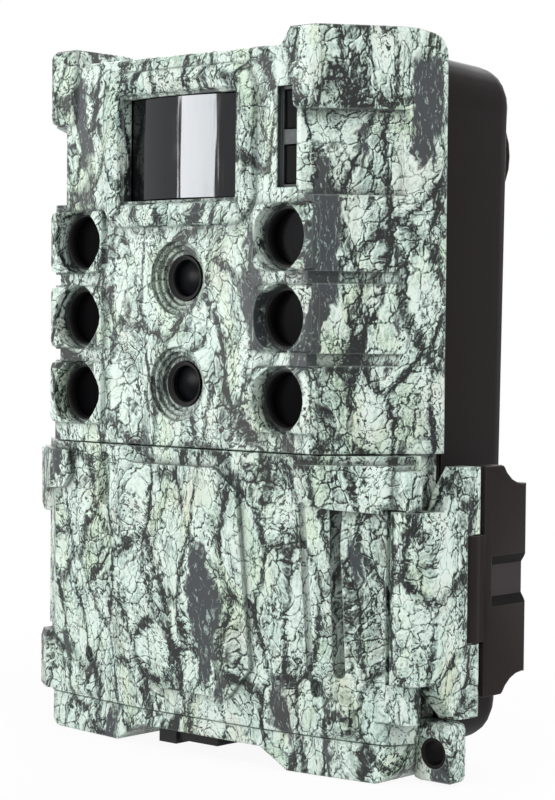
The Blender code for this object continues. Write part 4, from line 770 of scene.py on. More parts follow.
@dataclass(frozen=True)
class CircuitBoard:
    """Solder mask over copper tracks."""

    name: str = "circuit_board"
    mask: Colour = srgb(22, 84, 52)
    track: Colour = srgb(38, 112, 70)
    pad: Colour = srgb(196, 178, 120)
    mesh: Sizes = (4.0, 4.0, 4.0)
    pitch: float = 0.12
    track_step: Span = (0.05, 0.07)
    dot: Sizes = (2.6, 2.6, 2.6)
    pad_step: Span = (0.16, 0.13)
    rough: Span = (0.3, 0.1)
    relief: float = 0.00003
    relief_share: float = 0.5

    def build(self) -> Material:
        """The board.

        Returns:
            The material.
        """
        art = Canvas(self.name)
        here = art.position()
        squares = art.cells(here, self.mesh, feature="F1", distance="CHEBYCHEV")
        tracks = art.step(art.math("PINGPONG", squares, self.pitch), *self.track_step)
        pads = art.step(art.cells(here, self.dot, feature="F1"), *self.pad_step)
        return art.finish(
            Base_Color=art.blend(pads, art.blend(tracks, self.mask, self.track), self.pad),
            Roughness=art.spread(tracks, *self.rough),
            Normal=art.bump(tracks, self.relief, self.relief_share),
        )


@dataclass(frozen=True)
class CellWrap:
    """Shrink sleeve of a dry cell: pale, with a coloured collar and line, and bare metal at both ends."""

    name: str
    start: float
    turn: float
    length: float
    collar: Colour = srgb(52, 92, 100)
    body: Colour = srgb(176, 178, 174)
    metal: Colour = srgb(190, 190, 188)
    collar_length: float = 14.0
    collar_blur: float = 0.1
    line_away: float = 1.4
    line_step: Span = (0.42, 0.34)
    crimp: float = 0.7
    crimp_blur: float = 0.06
    scuff: Sizes = (4.0, 1.2, 1.2)
    rough: Span = (0.22, 0.24)
    relief: float = 0.00003
    relief_share: float = 0.3

    def build(self) -> Material:
        """The sleeve.

        Returns:
            The material.
        """
        art = Canvas(self.name)
        here = art.position()
        along = art.scale(art.math("SUBTRACT", art.split(here)[0], self.start), self.turn)
        edge = self.length - self.collar_length
        band = art.step(along, edge - self.collar_blur, edge + self.collar_blur)
        colour = art.blend(band, self.body, self.collar)
        away = art.math("ABSOLUTE", art.math("SUBTRACT", along, edge - self.line_away))
        colour = art.blend(art.step(away, *self.line_step), colour, self.collar)
        top = self.length - self.crimp
        low = art.step(along, self.crimp + self.crimp_blur, self.crimp - self.crimp_blur)
        high = art.step(along, top - self.crimp_blur, top + self.crimp_blur)
        ends = art.math("MAXIMUM", low, high)
        scuff = art.level(here, self.scuff, detail=4.0, rough=0.6)
        return art.finish(
            Base_Color=art.blend(ends, colour, self.metal),
            Metallic=ends,
            Roughness=art.spread(scuff, *self.rough),
            Normal=art.bump(scuff, self.relief, self.relief_share),
        )


@dataclass(frozen=True)
class Finishes:
    """Every finish of the camera, made once."""

    bark: Material
    door: Material
    case: Material
    latch: Material
    rubber: Material
    window: Material
    lamp: Material
    black: Material
    glass: Material
    emitter: Material
    board: Material
    panel: Material
    screen: Material
    key: Material
    mark: Material
    card: Material
    steel: Material
    screw: Material
    brass: Material

    @classmethod
    def mix(cls) -> "Finishes":
        """Build the whole set.

        Returns:
            The finishes.
        """
        plastic = MouldedPlastic
        recipes = {
            "bark": BarkPrint(),
            "door": BarkPrint("door_print", lining=DoorLining()),
            "case": plastic("case_plastic", srgb(28, 23, 23), srgb(22, 18, 18), specular=0.06),
            "latch": plastic(
                "latch_plastic", srgb(44, 38, 38), srgb(37, 31, 31), specular=0.07, groove=ThumbGroove()
            ),
            "rubber": plastic("black_rubber", srgb(30, 30, 31), srgb(22, 22, 23), 0.5, 0.00005, 0.62),
            "window": DarkWindow(
                "motion_window", srgb(14, 14, 16), srgb(10, 10, 12), polish=0.07, specular=0.42, ripple=0.0001
            ),
            "lamp": DarkWindow("lamp_window", srgb(11, 10, 12), srgb(7, 6, 8), polish=0.2, specular=0.012),
            "black": plastic(
                "lens_black", srgb(22, 22, 24), srgb(14, 14, 16), 0.25, 0.00002, 0.4, specular=0.2
            ),
            "glass": CoatedGlass(),
            "emitter": DarkWindow("emitter_epoxy", srgb(58, 40, 74), srgb(40, 28, 54), polish=0.12),
            "board": CircuitBoard(),
            "panel": plastic("panel_plastic", srgb(70, 71, 74), srgb(60, 61, 64)),
            "screen": DarkWindow("screen_glass", srgb(128, 138, 116), srgb(116, 126, 106), polish=0.12),
            "key": plastic("key_rubber", srgb(150, 150, 152), srgb(136, 136, 138), 0.4, 0.00003, 0.5),
            "mark": plastic("sign_paint", srgb(226, 228, 226), srgb(206, 208, 206), 0.4, 0.00001, 0.5),
            "card": plastic("card_plastic", srgb(38, 52, 92), srgb(32, 44, 80), 0.4, 0.00003, 0.4),
            "steel": Metal("steel", srgb(196, 197, 198), srgb(150, 150, 152)),
            "screw": Metal("black_steel", srgb(88, 87, 88), srgb(64, 62, 60), rough=0.3),
            "brass": Metal("brass", srgb(206, 170, 96), srgb(160, 122, 62)),
        }
        return cls(**{name: recipe.build() for name, recipe in recipes.items()})


class Maker:
    """Dresses carried-over solids and adds pieces that ride on a body."""

    WELD = 1e-6
    CREASE = math.radians(28)
    DOUBLES = 1e-7
    SHARP = math.radians(35)

    def __init__(self, nodes: dict[str, bpy.types.Object]) -> None:
        """Keep the solids of the frame, by name."""
        self.nodes = nodes

    def dress(self, finish: Material, *names: str) -> None:
        """Give solids a finish and clean shading.

        Args:
            finish: The material.
            *names: Solids to dress.
        """
        for name in names:
            solid = self.nodes[name]
            solid.data.materials.clear()
            solid.data.materials.append(finish)
            if "custom_normal" in solid.data.attributes:
                solid.data.attributes.remove(solid.data.attributes["custom_normal"])
            solid.data.shade_smooth()
            solid.modifiers.new("weld", "WELD").merge_threshold = self.WELD
            solid.modifiers.new("crease", "EDGE_SPLIT").split_angle = self.CREASE
            LOG.info("dressed %s with %s", name, finish.name)

    def place(
        self, name: str, shape: Mesh, pose: Matrix, finish: Material, slot: Slot, body: Body = Body.HOUSING
    ) -> None:
        """Add a piece.

        Args:
            name: Name of the piece.
            shape: Its mesh, which is used up.
            pose: Where the mesh goes.
            finish: Its material.
            slot: Not used.
            body: The body that carries it.
        """
        bmesh.ops.remove_doubles(shape, verts=shape.verts, dist=self.DOUBLES)
        bmesh.ops.recalc_face_normals(shape, faces=shape.faces)
        mesh = bpy.data.meshes.new(name)
        shape.to_mesh(mesh)
        shape.free()
        mesh.transform(pose)
        mesh.materials.append(finish)
        mesh.shade_smooth()
        mesh.set_sharp_from_angle(angle=self.SHARP)
        piece = bpy.data.objects.new(name, mesh)
        bpy.context.scene.collection.objects.link(piece)
        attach(piece, body.value)
        LOG.info("added %s on %s", name, body.value)


def arc(centre: Point, radius: float, start: float, sweep: float, steps: int) -> Profile:
    """Points along an arc, with both its ends.

    Args:
        centre: Middle of the arc.
        radius: Its radius.
        start: Where it starts, in degrees.
        sweep: How far it goes, in degrees.
        steps: Number of its chords.

    Returns:
        The points.
    """
    points = []
    for step in range(steps + 1):
        angle = math.radians(start + sweep * step / steps)
        points.append((centre[0] + radius * math.cos(angle), centre[1] + radius * math.sin(angle)))
    return points


def circle(radius: float, steps: int, start: float = 0.0) -> Profile:
    """Corners of a round about the origin, the first at a start in degrees."""
    return arc((0.0, 0.0), radius, start, 360.0, steps)[:-1]


def ring(shape: Mesh, outline: Profile, height: float, share: float = 1.0) -> list[bmesh.types.BMVert]:
    """Corners of a mesh along an outline, at a height and scaled by a share."""
    return [shape.verts.new((x * share, y * share, height)) for x, y in outline]


def bridge(shape: Mesh, lower: list[bmesh.types.BMVert], upper: list[bmesh.types.BMVert]) -> None:
    """Join two closed rows of corners with faces.

    Args:
        shape: The mesh.
        lower: One row.
        upper: The other row, as long as the first.
    """
    for step, corner in enumerate(lower):
        after = (step + 1) % len(lower)
        shape.faces.new((corner, lower[after], upper[after], upper[step]))


def turned(profile: Profile, steps: int = 48) -> Mesh:
    """A closed profile turned about z.

    Args:
        profile: Points as radius and height.
        steps: Sides of the round.

    Returns:
        The mesh.
    """
    shape = bmesh.new()
    rings = [ring(shape, circle(radius, steps), height) for radius, height in profile]
    for lower, upper in zip(rings, rings[1:] + rings[:1]):
        bridge(shape, lower, upper)
    return shape


def plate(outline: Profile, thick: float, edge: float = 0.0) -> Mesh:
    """A flat piece raised along z, with its upper edge drawn in.

    Args:
        outline: Corners, anticlockwise.
        thick: Height of the piece.
        edge: How far the upper edge is drawn in.

    Returns:
        The mesh.
    """
    shape = bmesh.new()
    least_share, least_length = 0.1, 1e-9
    centre = Vector((sum(x for x, _ in outline), sum(y for _, y in outline))) / len(outline)
    low = ring(shape, outline, 0.0)
    high = []
    for corner in outline:
        out = Vector(corner) - centre
        inner = centre + out * max(least_share, 1 - edge / max(out.length, least_length))
        high.append(shape.verts.new((inner.x, inner.y, thick)))
    shape.faces.new(low[::-1])
    shape.faces.new(high)
    bridge(shape, low, high)
    return shape


FACING_FRONT = Matrix.Rotation(math.radians(90), 4, "X")
FACING_BACK = Matrix.Rotation(math.radians(-90), 4, "X")


def front_of(node: str) -> Matrix:
    """Pose in the middle of a solid's front, with z to the front."""
    low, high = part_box(node)
    return Matrix.Translation(((low.x + high.x) / 2, low.y, (low.z + high.z) / 2)) @ FACING_FRONT


@dataclass
class Assembly:
    """Sub-assembly of the camera, which has its solids dressed and its small pieces added."""

    maker: Maker
    finishes: Finishes

    def build(self) -> None:
        """Dress the solids and add the small pieces."""
        raise NotImplementedError


@dataclass
class LampBank(Assembly):
    """Two columns of infrared lamps, each with a black sleeve inside its bore."""

    count: int = 6
    sleeve_out: float = 5.72 * MM
    sleeve_in: float = 5.1 * MM
    sleeve_start: float = 0.05 * MM
    sleeve_length: float = 1.9 * MM
    flare: float = 0.35 * MM
    flare_length: float = 0.5 * MM

    def build(self) -> None:
        """Dress the lamps and add their sleeves."""
        for number in range(1, self.count + 1):
            window = f"ir_window_{number}"
            self.maker.dress(self.finishes.lamp, window)
            self.maker.dress(self.finishes.emitter, f"ir_emitter_{number}")
            sleeve, pose = self.sleeve(), front_of(window)
            self.maker.place(f"lamp_sleeve_{number}", sleeve, pose, self.finishes.black, Slot.BLACK)
        self.maker.dress(self.finishes.board, "led_board_left", "led_board_right")

    def sleeve(self) -> Mesh:
        """A sleeve with a flared rim.

        Returns:
            The mesh.
        """
        return turned([
            (self.sleeve_in, self.sleeve_start),
            (self.sleeve_out, self.sleeve_start),
            (self.sleeve_out, self.sleeve_length),
            (self.sleeve_in + self.flare, self.sleeve_length),
            (self.sleeve_in, self.sleeve_length - self.flare_length),
        ])


@dataclass
class LensPair(Assembly):
    """Day and night lenses, one above the other."""

    ring_out: float = 4.5 * MM
    ring_in: float = 3.6 * MM
    ring_rise: float = 0.8 * MM
    terraces: int = 3

    def build(self) -> None:
        """Dress both lenses and add their retaining rings."""
        for kind in ("day", "night"):
            barrel = f"{kind}_lens_barrel"
            self.maker.dress(self.finishes.black, barrel)
            self.maker.dress(self.finishes.glass, f"{kind}_lens_glass")
            pose = front_of(barrel)
            self.maker.place(f"{kind}_lens_ring", self.stepped(), pose, self.finishes.black, Slot.BLACK)

    def stepped(self) -> Mesh:
        """A ring that steps down to the glass.

        Returns:
            The mesh.
        """
        step = (self.ring_out - self.ring_in) / (self.terraces + 1)
        drop = self.ring_rise / self.terraces
        profile = [(self.ring_in, 0.0), (self.ring_out, 0.0)]
        for terrace in range(self.terraces):
            radius, height = self.ring_out - terrace * step, self.ring_rise - terrace * drop
            profile += [(radius, height), (radius - step, height)]
        return turned(profile)


@dataclass
class FrontCase(Assembly):
    """Printed front shell with its motion window, sensor channel, top edge and padlock eye, lined in dark
    plastic that paints the shade inside the eye.
    """

    eye_in: float = 4.4 * MM
    eye_z: float = 6.0 * MM
    liner_front: float = -12.75 * MM
    liner_length: float = 6.15 * MM
    liner_out: float = 2.95 * MM
    liner_in: float = 2.3 * MM
    liner_chamfer: float = 0.2 * MM
    crown_half: float = 27.2 * MM
    crown_seat: float = 137.4 * MM
    crown_top: float = 140.1 * MM
    crown_front: float = -29.0 * MM
    crown_back: float = -7.35 * MM
    crown_slope: float = 2.5 * MM
    crown_drop: float = 0.8 * MM
    crown_round: float = 1.6 * MM
    crown_steps: int = 6

    def build(self) -> None:
        """Dress the front of the case and add the eye's liner and the top edge."""
        self.maker.dress(self.finishes.bark, "front_shell")
        self.maker.dress(self.finishes.window, "pir_window")
        self.maker.dress(self.finishes.steel, "pir_sensor")
        self.maker.dress(self.finishes.lamp, "indicator_window", "light_sensor_window")
        self.maker.dress(self.finishes.board, "main_board")
        self.liner()
        self.crown()

    def liner(self) -> None:
        """Add the liner of the padlock eye, which stands out behind the lug; its dark plastic paints the
        shade inside the eye's bore.
        """
        profile = [
            (self.liner_in, 0.0),
            (self.liner_out, 0.0),
            (self.liner_out, self.liner_length),
            (self.liner_in + self.liner_chamfer, self.liner_length),
            (self.liner_in, self.liner_length - self.liner_chamfer),
        ]
        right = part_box("front_shell")[1].x
        back = Vector((right - self.eye_in, self.liner_front + self.liner_length, self.eye_z))
        pose = Matrix.Translation(back) @ FACING_FRONT
        # Painted shade: the liner takes the dark case plastic where the bore's print lies in shade.
        self.maker.place("padlock_shade_liner", turned(profile), pose, self.finishes.case, Slot.CASE)

    def crown(self) -> None:
        """Add the raised edge along the top, from ear to ear."""
        centre = (self.crown_front + self.crown_round, self.crown_top - self.crown_round)
        outline = [
            (self.crown_front, self.crown_seat),
            (self.crown_back, self.crown_seat),
            (self.crown_back, self.crown_top - self.crown_drop),
            (self.crown_back - self.crown_slope, self.crown_top),
            *arc(centre, self.crown_round, 90.0, 90.0, self.crown_steps),
        ]
        along = Matrix(((0, 0, 1, -self.crown_half), (1, 0, 0, 0), (0, 1, 0, 0), (0, 0, 0, 1)))
        bar = plate(outline, 2 * self.crown_half)
        self.maker.place("top_edge", bar, along, self.finishes.bark, Slot.BARK)


@dataclass
class RearCase(Assembly):
    """Brown rear shell with its screws, seal, tripod socket and the bands over its top and foot."""

    screw_places: tuple[Point, ...] = (
        (36 * MM, 16 * MM),
        (36 * MM, 72 * MM),
        (20 * MM, 128 * MM),
        (-36 * MM, 16 * MM),
        (-36 * MM, 72 * MM),
        (-20 * MM, 128 * MM),
    )
    collar: tuple[Point, ...] = (
        (3.1 * MM, -0.2 * MM),
        (4.3 * MM, -0.2 * MM),
        (4.1 * MM, 0.6 * MM),
        (3.8 * MM, 0.8 * MM),
        (3.3 * MM, 0.8 * MM),
        (3.1 * MM, 0.6 * MM),
    )
    head_half: float = 2.7 * MM
    head_low: float = -0.2 * MM
    head_rim: float = 0.25 * MM
    head_rim_share: float = 0.98
    head_rise: float = 0.6 * MM
    head_flat_share: float = 0.72
    head_steps: int = 48
    recess_half: float = 0.4 * MM
    recess_reach: float = 1.6 * MM
    recess_floor: float = 0.15 * MM
    recess_floor_share: float = 0.8
    back_top: float = 18.35 * MM
    back_lean: float = 2.4 / 129.2
    back_top_z: float = 136.7 * MM
    half: float = 49.2 * MM
    corner: float = 8.0 * MM
    corner_steps: int = 6
    back_edge: float = 6.0 * MM
    back_steps: int = 5
    draft: float = 0.8 * MM
    band_front: float = -7.35 * MM
    band_foot: float = 6.0 * MM
    band_tuck: float = 0.3 * MM
    band_skin: float = 0.03 * MM
    bands: tuple[tuple[str, float, float, float], ...] = (
        ("rear_top_band", 1.0, 136.7 * MM, 2.6 * MM),
        ("rear_foot_band", -1.0, 7.5 * MM, 3.8 * MM),
    )
    thread_start: float = 0.7 * MM
    thread_pitch: float = 1.27 * MM
    thread_turns: float = 5.5
    thread_steps: int = 40
    thread_root: float = 3.22 * MM
    thread_crest: float = 2.75 * MM
    thread_half: float = 0.42
    thread_flat: float = 0.15
    thread_runout: int = 10
    thread_least: float = 0.05

    def build(self) -> None:
        """Dress the rear shell and add its screws, thread and bands."""
        self.maker.dress(self.finishes.case, "rear_shell")
        self.maker.dress(self.finishes.rubber, "shell_gasket")
        self.maker.dress(self.finishes.brass, "tripod_insert")
        for number, (x, z) in enumerate(self.screw_places, 1):
            self.screw(number, x, z)
        self.thread()
        for name, way, edge, rise in self.bands:
            self.maker.place(name, self.band(way, edge, rise), Matrix(), self.finishes.case, Slot.CASE)

    def arch(self, half: float, edge: float, radius: float, foot: Point) -> Profile:
        """Outline over one end of the shell, from its right side to its left.

        Args:
            half: Half the width.
            edge: Height of the end.
            radius: Radius of the corners.
            foot: Where the outline starts on the right.

        Returns:
            The points.
        """
        right = [foot, *arc((half - radius, edge - radius), radius, 0.0, 90.0, self.corner_steps)]
        return right + [(-x, z) for x, z in reversed(right)]

    def band(self, way: float, edge: float, rise: float) -> Mesh:
        """A band that takes the shell's top or foot out to the real one's.

        Args:
            way: 1 for the top and -1 for the foot.
            edge: Height of the shell's end.
            rise: How far the band takes it out.

        Returns:
            The mesh.
        """
        stations = [(self.band_front, 0.0, 0.0)]
        for narrow, deep in arc((0.0, 0.0), self.back_edge, 0.0, 90.0, self.back_steps):
            shrink = self.draft + self.back_edge - narrow
            stations.append((self.back_top - self.back_edge + deep, shrink, self.back_lean))
        shape = bmesh.new()
        sunk = 2 * self.band_tuck
        rows = []
        for number, (deep, shrink, lean) in enumerate(stations, 1):
            last = number == len(stations)
            half, radius = self.half - shrink, self.corner - shrink / 2
            low = way * edge - shrink
            start = low - radius - self.band_foot
            outer = self.arch(half + self.band_skin, low + rise, radius, (half - self.band_tuck, start))
            inner = self.arch(half - sunk, low - sunk, radius - sunk, (half - sunk, start))
            proud, tucked = self.band_skin * last, -self.band_tuck * last
            shifts = [tucked] + [proud] * (len(outer) - 2) + [tucked] * (len(inner) + 1)
            row = []
            for (x, up), shift in zip(outer + inner[::-1], shifts):
                y = deep + shift - lean * (self.back_top_z - way * up)
                row.append(shape.verts.new((x, y, way * up)))
            rows.append(row)
        for row, after in zip(rows, rows[1:]):
            bridge(shape, row, after)
        size = len(rows[0])
        for row in (rows[0], rows[-1]):
            for step in range(size // 2 - 1):
                shape.faces.new((row[step], row[step + 1], row[size - 2 - step], row[size - 1 - step]))
        return shape

    def screw(self, number: int, x: float, z: float) -> None:
        """Add one case screw in its collar.

        Args:
            number: Number of the screw.
            x: Place across the back.
            z: Height on the back.
        """
        y = self.back_top - self.back_lean * (self.back_top_z - z)
        lean = Matrix.Rotation(-math.atan(self.back_lean), 4, "X")
        pose = Matrix.Translation((x, y, z)) @ lean @ FACING_BACK
        collar = turned(list(self.collar))
        self.maker.place(f"screw_collar_{number}", collar, pose, self.finishes.case, Slot.CASE)
        self.maker.place(f"case_screw_{number}", self.cross_head(), pose, self.finishes.screw, Slot.STEEL)

    def cross_head(self) -> Mesh:
        """A pan head with a cross recess.

        Returns:
            The mesh.
        """
        shape = bmesh.new()
        outer = circle(self.head_half, self.head_steps, 180.0 / self.head_steps)
        low = ring(shape, outer, self.head_low)
        rim = ring(shape, outer, self.head_rim, self.head_rim_share)
        crown = ring(shape, outer, self.head_rise, self.head_flat_share)
        slot, reach = self.recess_half, self.recess_reach
        cross = [
            (reach, -slot), (reach, slot), (slot, slot), (slot, reach), (-slot, reach), (-slot, slot),
            (-reach, slot), (-reach, -slot), (-slot, -slot), (-slot, -reach), (slot, -reach), (slot, -slot),
        ]
        lip = ring(shape, cross, self.head_rise)
        floor = ring(shape, cross, self.recess_floor, self.recess_floor_share)
        shape.faces.new(low[::-1])
        shape.faces.new(floor)
        for lower, upper in ((low, rim), (rim, crown), (lip, floor)):
            bridge(shape, lower, upper)
        edges = []
        for row in (crown, lip):
            edges += [shape.edges.get(pair) for pair in zip(row, row[1:] + row[:1])]
        bmesh.ops.triangle_fill(shape, edges=edges, use_beauty=True)
        return shape

    def thread(self) -> None:
        """Add the screw thread inside the tripod socket."""
        low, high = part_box("tripod_insert")
        foot = ((low.x + high.x) / 2, (low.y + high.y) / 2, low.z + self.thread_start)
        shape = bmesh.new()
        total = int(self.thread_steps * self.thread_turns)
        half = self.thread_pitch * self.thread_half
        flat = half * self.thread_flat
        root = self.thread_root
        sections = []
        for step in range(total + 1):
            angle = 2 * math.pi * step / self.thread_steps
            rise = self.thread_pitch * step / self.thread_steps + half
            taper = min(1.0, step / self.thread_runout, (total - step) / self.thread_runout)
            crest = root + (self.thread_crest - root) * max(taper, self.thread_least)
            points = ((root, -half), (crest, -flat), (crest, flat), (root, half))
            sections.append(
                [shape.verts.new((r * math.cos(angle), r * math.sin(angle), rise + h)) for r, h in points]
            )
        for section, after in zip(sections, sections[1:]):
            bridge(shape, section, after)
        shape.faces.new(sections[0])
        shape.faces.new(sections[-1][::-1])
        pose = Matrix.Translation(foot)
        self.maker.place("tripod_thread", shape, pose, self.finishes.brass, Slot.BRASS)


@dataclass
class BatteryDoor(Assembly):
    """Hinged lower cover with its seal, its hinge pin and the pin of the claw."""

    def build(self) -> None:
        """Dress the door."""
        self.maker.dress(self.finishes.door, "lower_cover")
        self.maker.dress(self.finishes.rubber, "door_seal")
        self.maker.dress(self.finishes.steel, "door_hinge_pin", "claw_pin")


@dataclass
class DrawLatch(Assembly):
    """Printed claw and brown lever on the right side."""

    def build(self) -> None:
        """Dress the latch."""
        self.maker.dress(self.finishes.bark, "latch_claw")
        self.maker.dress(self.finishes.latch, "latch_lever")
        self.maker.dress(self.finishes.steel, "lever_pin")


@dataclass
class ControlPanel(Assembly):
    """Panel behind the door with its screen, keys, switch and card."""

    mark_wide: float = 1.25 * MM
    mark_rise: float = 0.12 * MM
    mark_edge: float = 0.1 * MM
    ring_in: float = 0.75 * MM
    ring_out: float = 1.15 * MM
    ring_taper: float = 0.05 * MM
    ring_steps: int = 32
    bar_half: float = 1.0 * MM
    bar_slim: float = 0.2 * MM
    switch_travel: float = 6.0 * MM
    switch_margin: float = 0.8 * MM
    switch_back: float = 0.4 * MM
    switch_thick: float = 0.5 * MM
    switch_sign_out: float = 3.3 * MM

    def build(self) -> None:
        """Dress the panel and add the signs on its keys, the switch's body and its signs."""
        self.maker.dress(self.finishes.panel, "control_panel", "sd_socket")
        self.maker.dress(self.finishes.screen, "lcd_screen")
        self.maker.dress(self.finishes.board, "control_board")
        self.maker.dress(self.finishes.card, "sd_card")
        self.maker.dress(self.finishes.rubber, Body.SWITCH.value)
        signs = {
            Body.KEY_UP: self.arrow(90.0),
            Body.KEY_LEFT: self.arrow(180.0),
            Body.KEY_DOWN: self.arrow(270.0),
            Body.KEY_RIGHT: self.arrow(0.0),
            Body.KEY_OK: self.hoop(),
        }
        for body, shape in signs.items():
            key = body.value
            self.maker.dress(self.finishes.key, key)
            self.maker.place(f"{key}_sign", shape, front_of(key), self.finishes.mark, Slot.KEY, body)
        self.switch()

    def switch(self) -> None:
        """Add the body of the slide switch behind its slot, and the signs beside it."""
        low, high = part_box(Body.SWITCH.value)
        margin = self.switch_margin
        wide, tall = high.x - low.x + margin, high.z - low.z + self.switch_travel + 2 * margin
        corners = [(0.0, 0.0), (wide, 0.0), (wide, tall), (0.0, tall)]
        place = Vector((low.x - margin / 2, high.y + self.switch_back + self.switch_thick, low.z - margin))
        body = plate(corners, self.switch_thick, self.mark_edge)
        pose = Matrix.Translation(place) @ FACING_FRONT
        self.maker.place("switch_body", body, pose, self.finishes.black, Slot.BLACK)
        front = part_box("control_panel")[0].y
        off = Vector(((low.x + high.x) / 2 + self.switch_sign_out, front, (low.z + high.z) / 2))
        slim, half = self.bar_slim, self.bar_half
        bar = plate([(-slim, -half), (slim, -half), (slim, half), (-slim, half)], self.mark_rise)
        signs = {
            "switch_off_sign": (self.hoop(), off),
            "switch_on_sign": (bar, off + Vector((0.0, 0.0, self.switch_travel))),
        }
        for name, (shape, spot) in signs.items():
            pose = Matrix.Translation(spot) @ FACING_FRONT
            self.maker.place(name, shape, pose, self.finishes.mark, Slot.KEY)

    def hoop(self) -> Mesh:
        """A raised ring.

        Returns:
            The mesh.
        """
        profile = [
            (self.ring_in, 0.0),
            (self.ring_out, 0.0),
            (self.ring_out - self.ring_taper, self.mark_rise),
            (self.ring_in + self.ring_taper, self.mark_rise),
        ]
        return turned(profile, self.ring_steps)

    def arrow(self, turn: float) -> Mesh:
        """A raised arrowhead, turned anticlockwise from the right in degrees."""
        return plate(circle(self.mark_wide, 3, turn), self.mark_rise, self.mark_edge)


@dataclass
class BatteryBay(Assembly):
    """Six dry cells in their tray, with spring contacts."""

    count: int = 6
    body_length: float = 49.2
    nub_reach: float = 4.0 * MM
    end_depth: float = 0.1 * MM

    def build(self) -> None:
        """Dress the cells, tray and contacts."""
        self.maker.dress(self.finishes.panel, "battery_tray")
        self.maker.dress(self.finishes.steel, "contact_left", "contact_right")
        for number in range(1, self.count + 1):
            name = f"aa_cell_{number}"
            low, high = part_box(name)
            start, turn = (low.x, 1.0) if self.nub_right(name, low, high) else (high.x, -1.0)
            wrap = CellWrap(f"cell_wrap_{number}", start / MM, turn, self.body_length)
            self.maker.dress(wrap.build(), name)

    def nub_right(self, name: str, low: Vector, high: Vector) -> bool:
        """Whether a cell's narrow end points to the right.

        Args:
            name: Name of the cell.
            low: Lowest corner of its box.
            high: Highest corner of its box.

        Returns:
            True if it does.
        """
        middle = (low + high) / 2
        corners = [vertex.co for vertex in self.maker.nodes[name].data.vertices]
        end = [corner - middle for corner in corners if corner.x > high.x - self.end_depth]
        return all(math.hypot(away.y, away.z) < self.nub_reach for away in end)


@dataclass
class Underside(Assembly):
    """Data port and its rubber cover."""

    def build(self) -> None:
        """Dress the port and its cover."""
        self.maker.dress(self.finishes.rubber, "port_cover")
        self.maker.dress(self.finishes.steel, "usb_port")


@dataclass(frozen=True)
class SoftBox:
    """Area lamp aimed at a place: bearing (0 in front, 90 at the right) and height in degrees, watts."""

    name: str
    azimuth: float
    elevation: float
    distance: float
    size: Span
    power: float

    def build(self, target: Vector) -> None:
        """Add the lamp.

        Args:
            target: The place it is aimed at.
        """
        bearing, rise = math.radians(self.azimuth), math.radians(self.elevation)
        flat = math.cos(rise)
        away = Vector((math.sin(bearing) * flat, -math.cos(bearing) * flat, math.sin(rise)))
        data = bpy.data.lights.new(self.name, "AREA")
        data.shape = "RECTANGLE"
        data.size, data.size_y = self.size
        data.energy = self.power
        item = bpy.data.objects.new(self.name, data)
        item.location = target + away * self.distance
        item.rotation_mode = "QUATERNION"
        item.rotation_quaternion = (-away).to_track_quat("-Z", "Y")
        item.visible_camera = False
        bpy.context.scene.collection.objects.link(item)


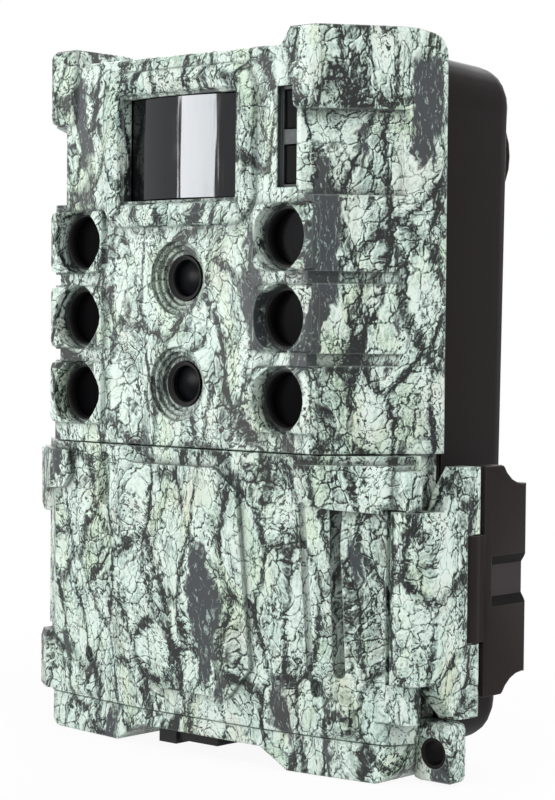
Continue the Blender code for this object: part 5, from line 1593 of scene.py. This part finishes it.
@dataclass
class Studio:
    """White floor, soft lamps and a camera at the photograph's angle."""

    eye: Vector = field(default_factory=lambda: Vector((0.299355, -0.338387, 0.086238)))
    right: Vector = field(default_factory=lambda: Vector((0.75141743, 0.65976633, 0.00895699)))
    up: Vector = field(default_factory=lambda: Vector((-0.03100705, 0.02174812, 0.99928253)))
    lens: float = 97.61
    sensor: float = 36.0
    shift: Span = (-0.0063, 0.0094)
    clip: float = 0.01
    floor_half: float = 6.0
    floor_z: float = -0.2 * MM
    floor_tone: Colour = (0.86, 0.86, 0.86)
    glow: float = 0.93
    shadow: Span = (0.08, 0.5)
    sky: float = 0.27
    white: Colour = (1.0, 1.0, 1.0)
    target: Vector = field(default_factory=lambda: Vector((0.0, -0.03, 0.1)))
    lamps: tuple[SoftBox, ...] = (
        SoftBox("key_lamp", -31.0, 5.0, 0.9, (0.38, 0.16), 3.85),
        SoftBox("side_lamp", 84.0, 42.0, 1.1, (0.7, 0.7), 6.6),
        SoftBox("top_lamp", 20.0, 68.0, 1.2, (1.0, 1.0), 3.0),
        SoftBox("back_lamp", 215.0, 28.0, 1.2, (1.0, 1.0), 11.0),
    )

    def build(self) -> None:
        """Set up the whole studio."""
        self.camera()
        self.world()
        self.floor()
        for lamp in self.lamps:
            lamp.build(self.target)
        bpy.context.scene.view_settings.view_transform = "Standard"

    def camera(self) -> None:
        """Add the camera."""
        data = bpy.data.cameras.new("camera")
        data.sensor_width = self.sensor
        data.lens = self.lens
        data.shift_x, data.shift_y = self.shift
        data.clip_start = self.clip
        item = bpy.data.objects.new("camera", data)
        back = self.right.cross(self.up).normalized()
        turn = Matrix((self.right, self.up, back)).transposed().to_4x4()
        item.matrix_world = Matrix.Translation(self.eye) @ turn
        bpy.context.scene.collection.objects.link(item)
        bpy.context.scene.camera = item

    def world(self) -> None:
        """Add a white surrounding that lights softly."""
        world = bpy.data.worlds.new("surround")
        art = Canvas("surround", world)
        soft = art.add("ShaderNodeBackground", self.white, self.sky)
        white = art.add("ShaderNodeBackground", self.white)
        art.choose(art.seen(), soft, white, "ShaderNodeOutputWorld")
        bpy.context.scene.world = world

    def floor(self) -> None:
        """Add a white floor that keeps a soft shadow."""
        shape = bmesh.new()
        bmesh.ops.create_grid(shape, x_segments=1, y_segments=1, size=self.floor_half)
        mesh = bpy.data.meshes.new("floor")
        shape.to_mesh(mesh)
        shape.free()
        art = Canvas("pale_floor")
        matt = art.add("ShaderNodeBsdfDiffuse", self.floor_tone)
        glow = art.add("ShaderNodeEmission")
        away = art.measure("LENGTH", art.add("ShaderNodeTexCoord").outputs["Object"])
        fade = art.graded(away, self.shadow, (self.glow, 1.0))
        art.choose(art.math("MULTIPLY", art.seen(), fade), matt, glow, "ShaderNodeOutputMaterial")
        mesh.materials.append(art.owner)
        item = bpy.data.objects.new("floor", mesh)
        item.location.z = self.floor_z
        bpy.context.scene.collection.objects.link(item)


def main() -> None:
    """Build the dressed camera and its studio."""
    logging.basicConfig(level=logging.INFO, format="%(name)s: %(message)s")
    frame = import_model()
    Studio().build()
    finishes = Finishes.mix()
    maker = Maker(frame["nodes"])
    assemblies = (
        FrontCase, LampBank, LensPair, RearCase, BatteryDoor, DrawLatch, ControlPanel, BatteryBay, Underside,
    )
    for assembly in assemblies:
        assembly(maker, finishes).build()
        LOG.info("finished %s", assembly.__name__)


if __name__ == "__main__":
    main()
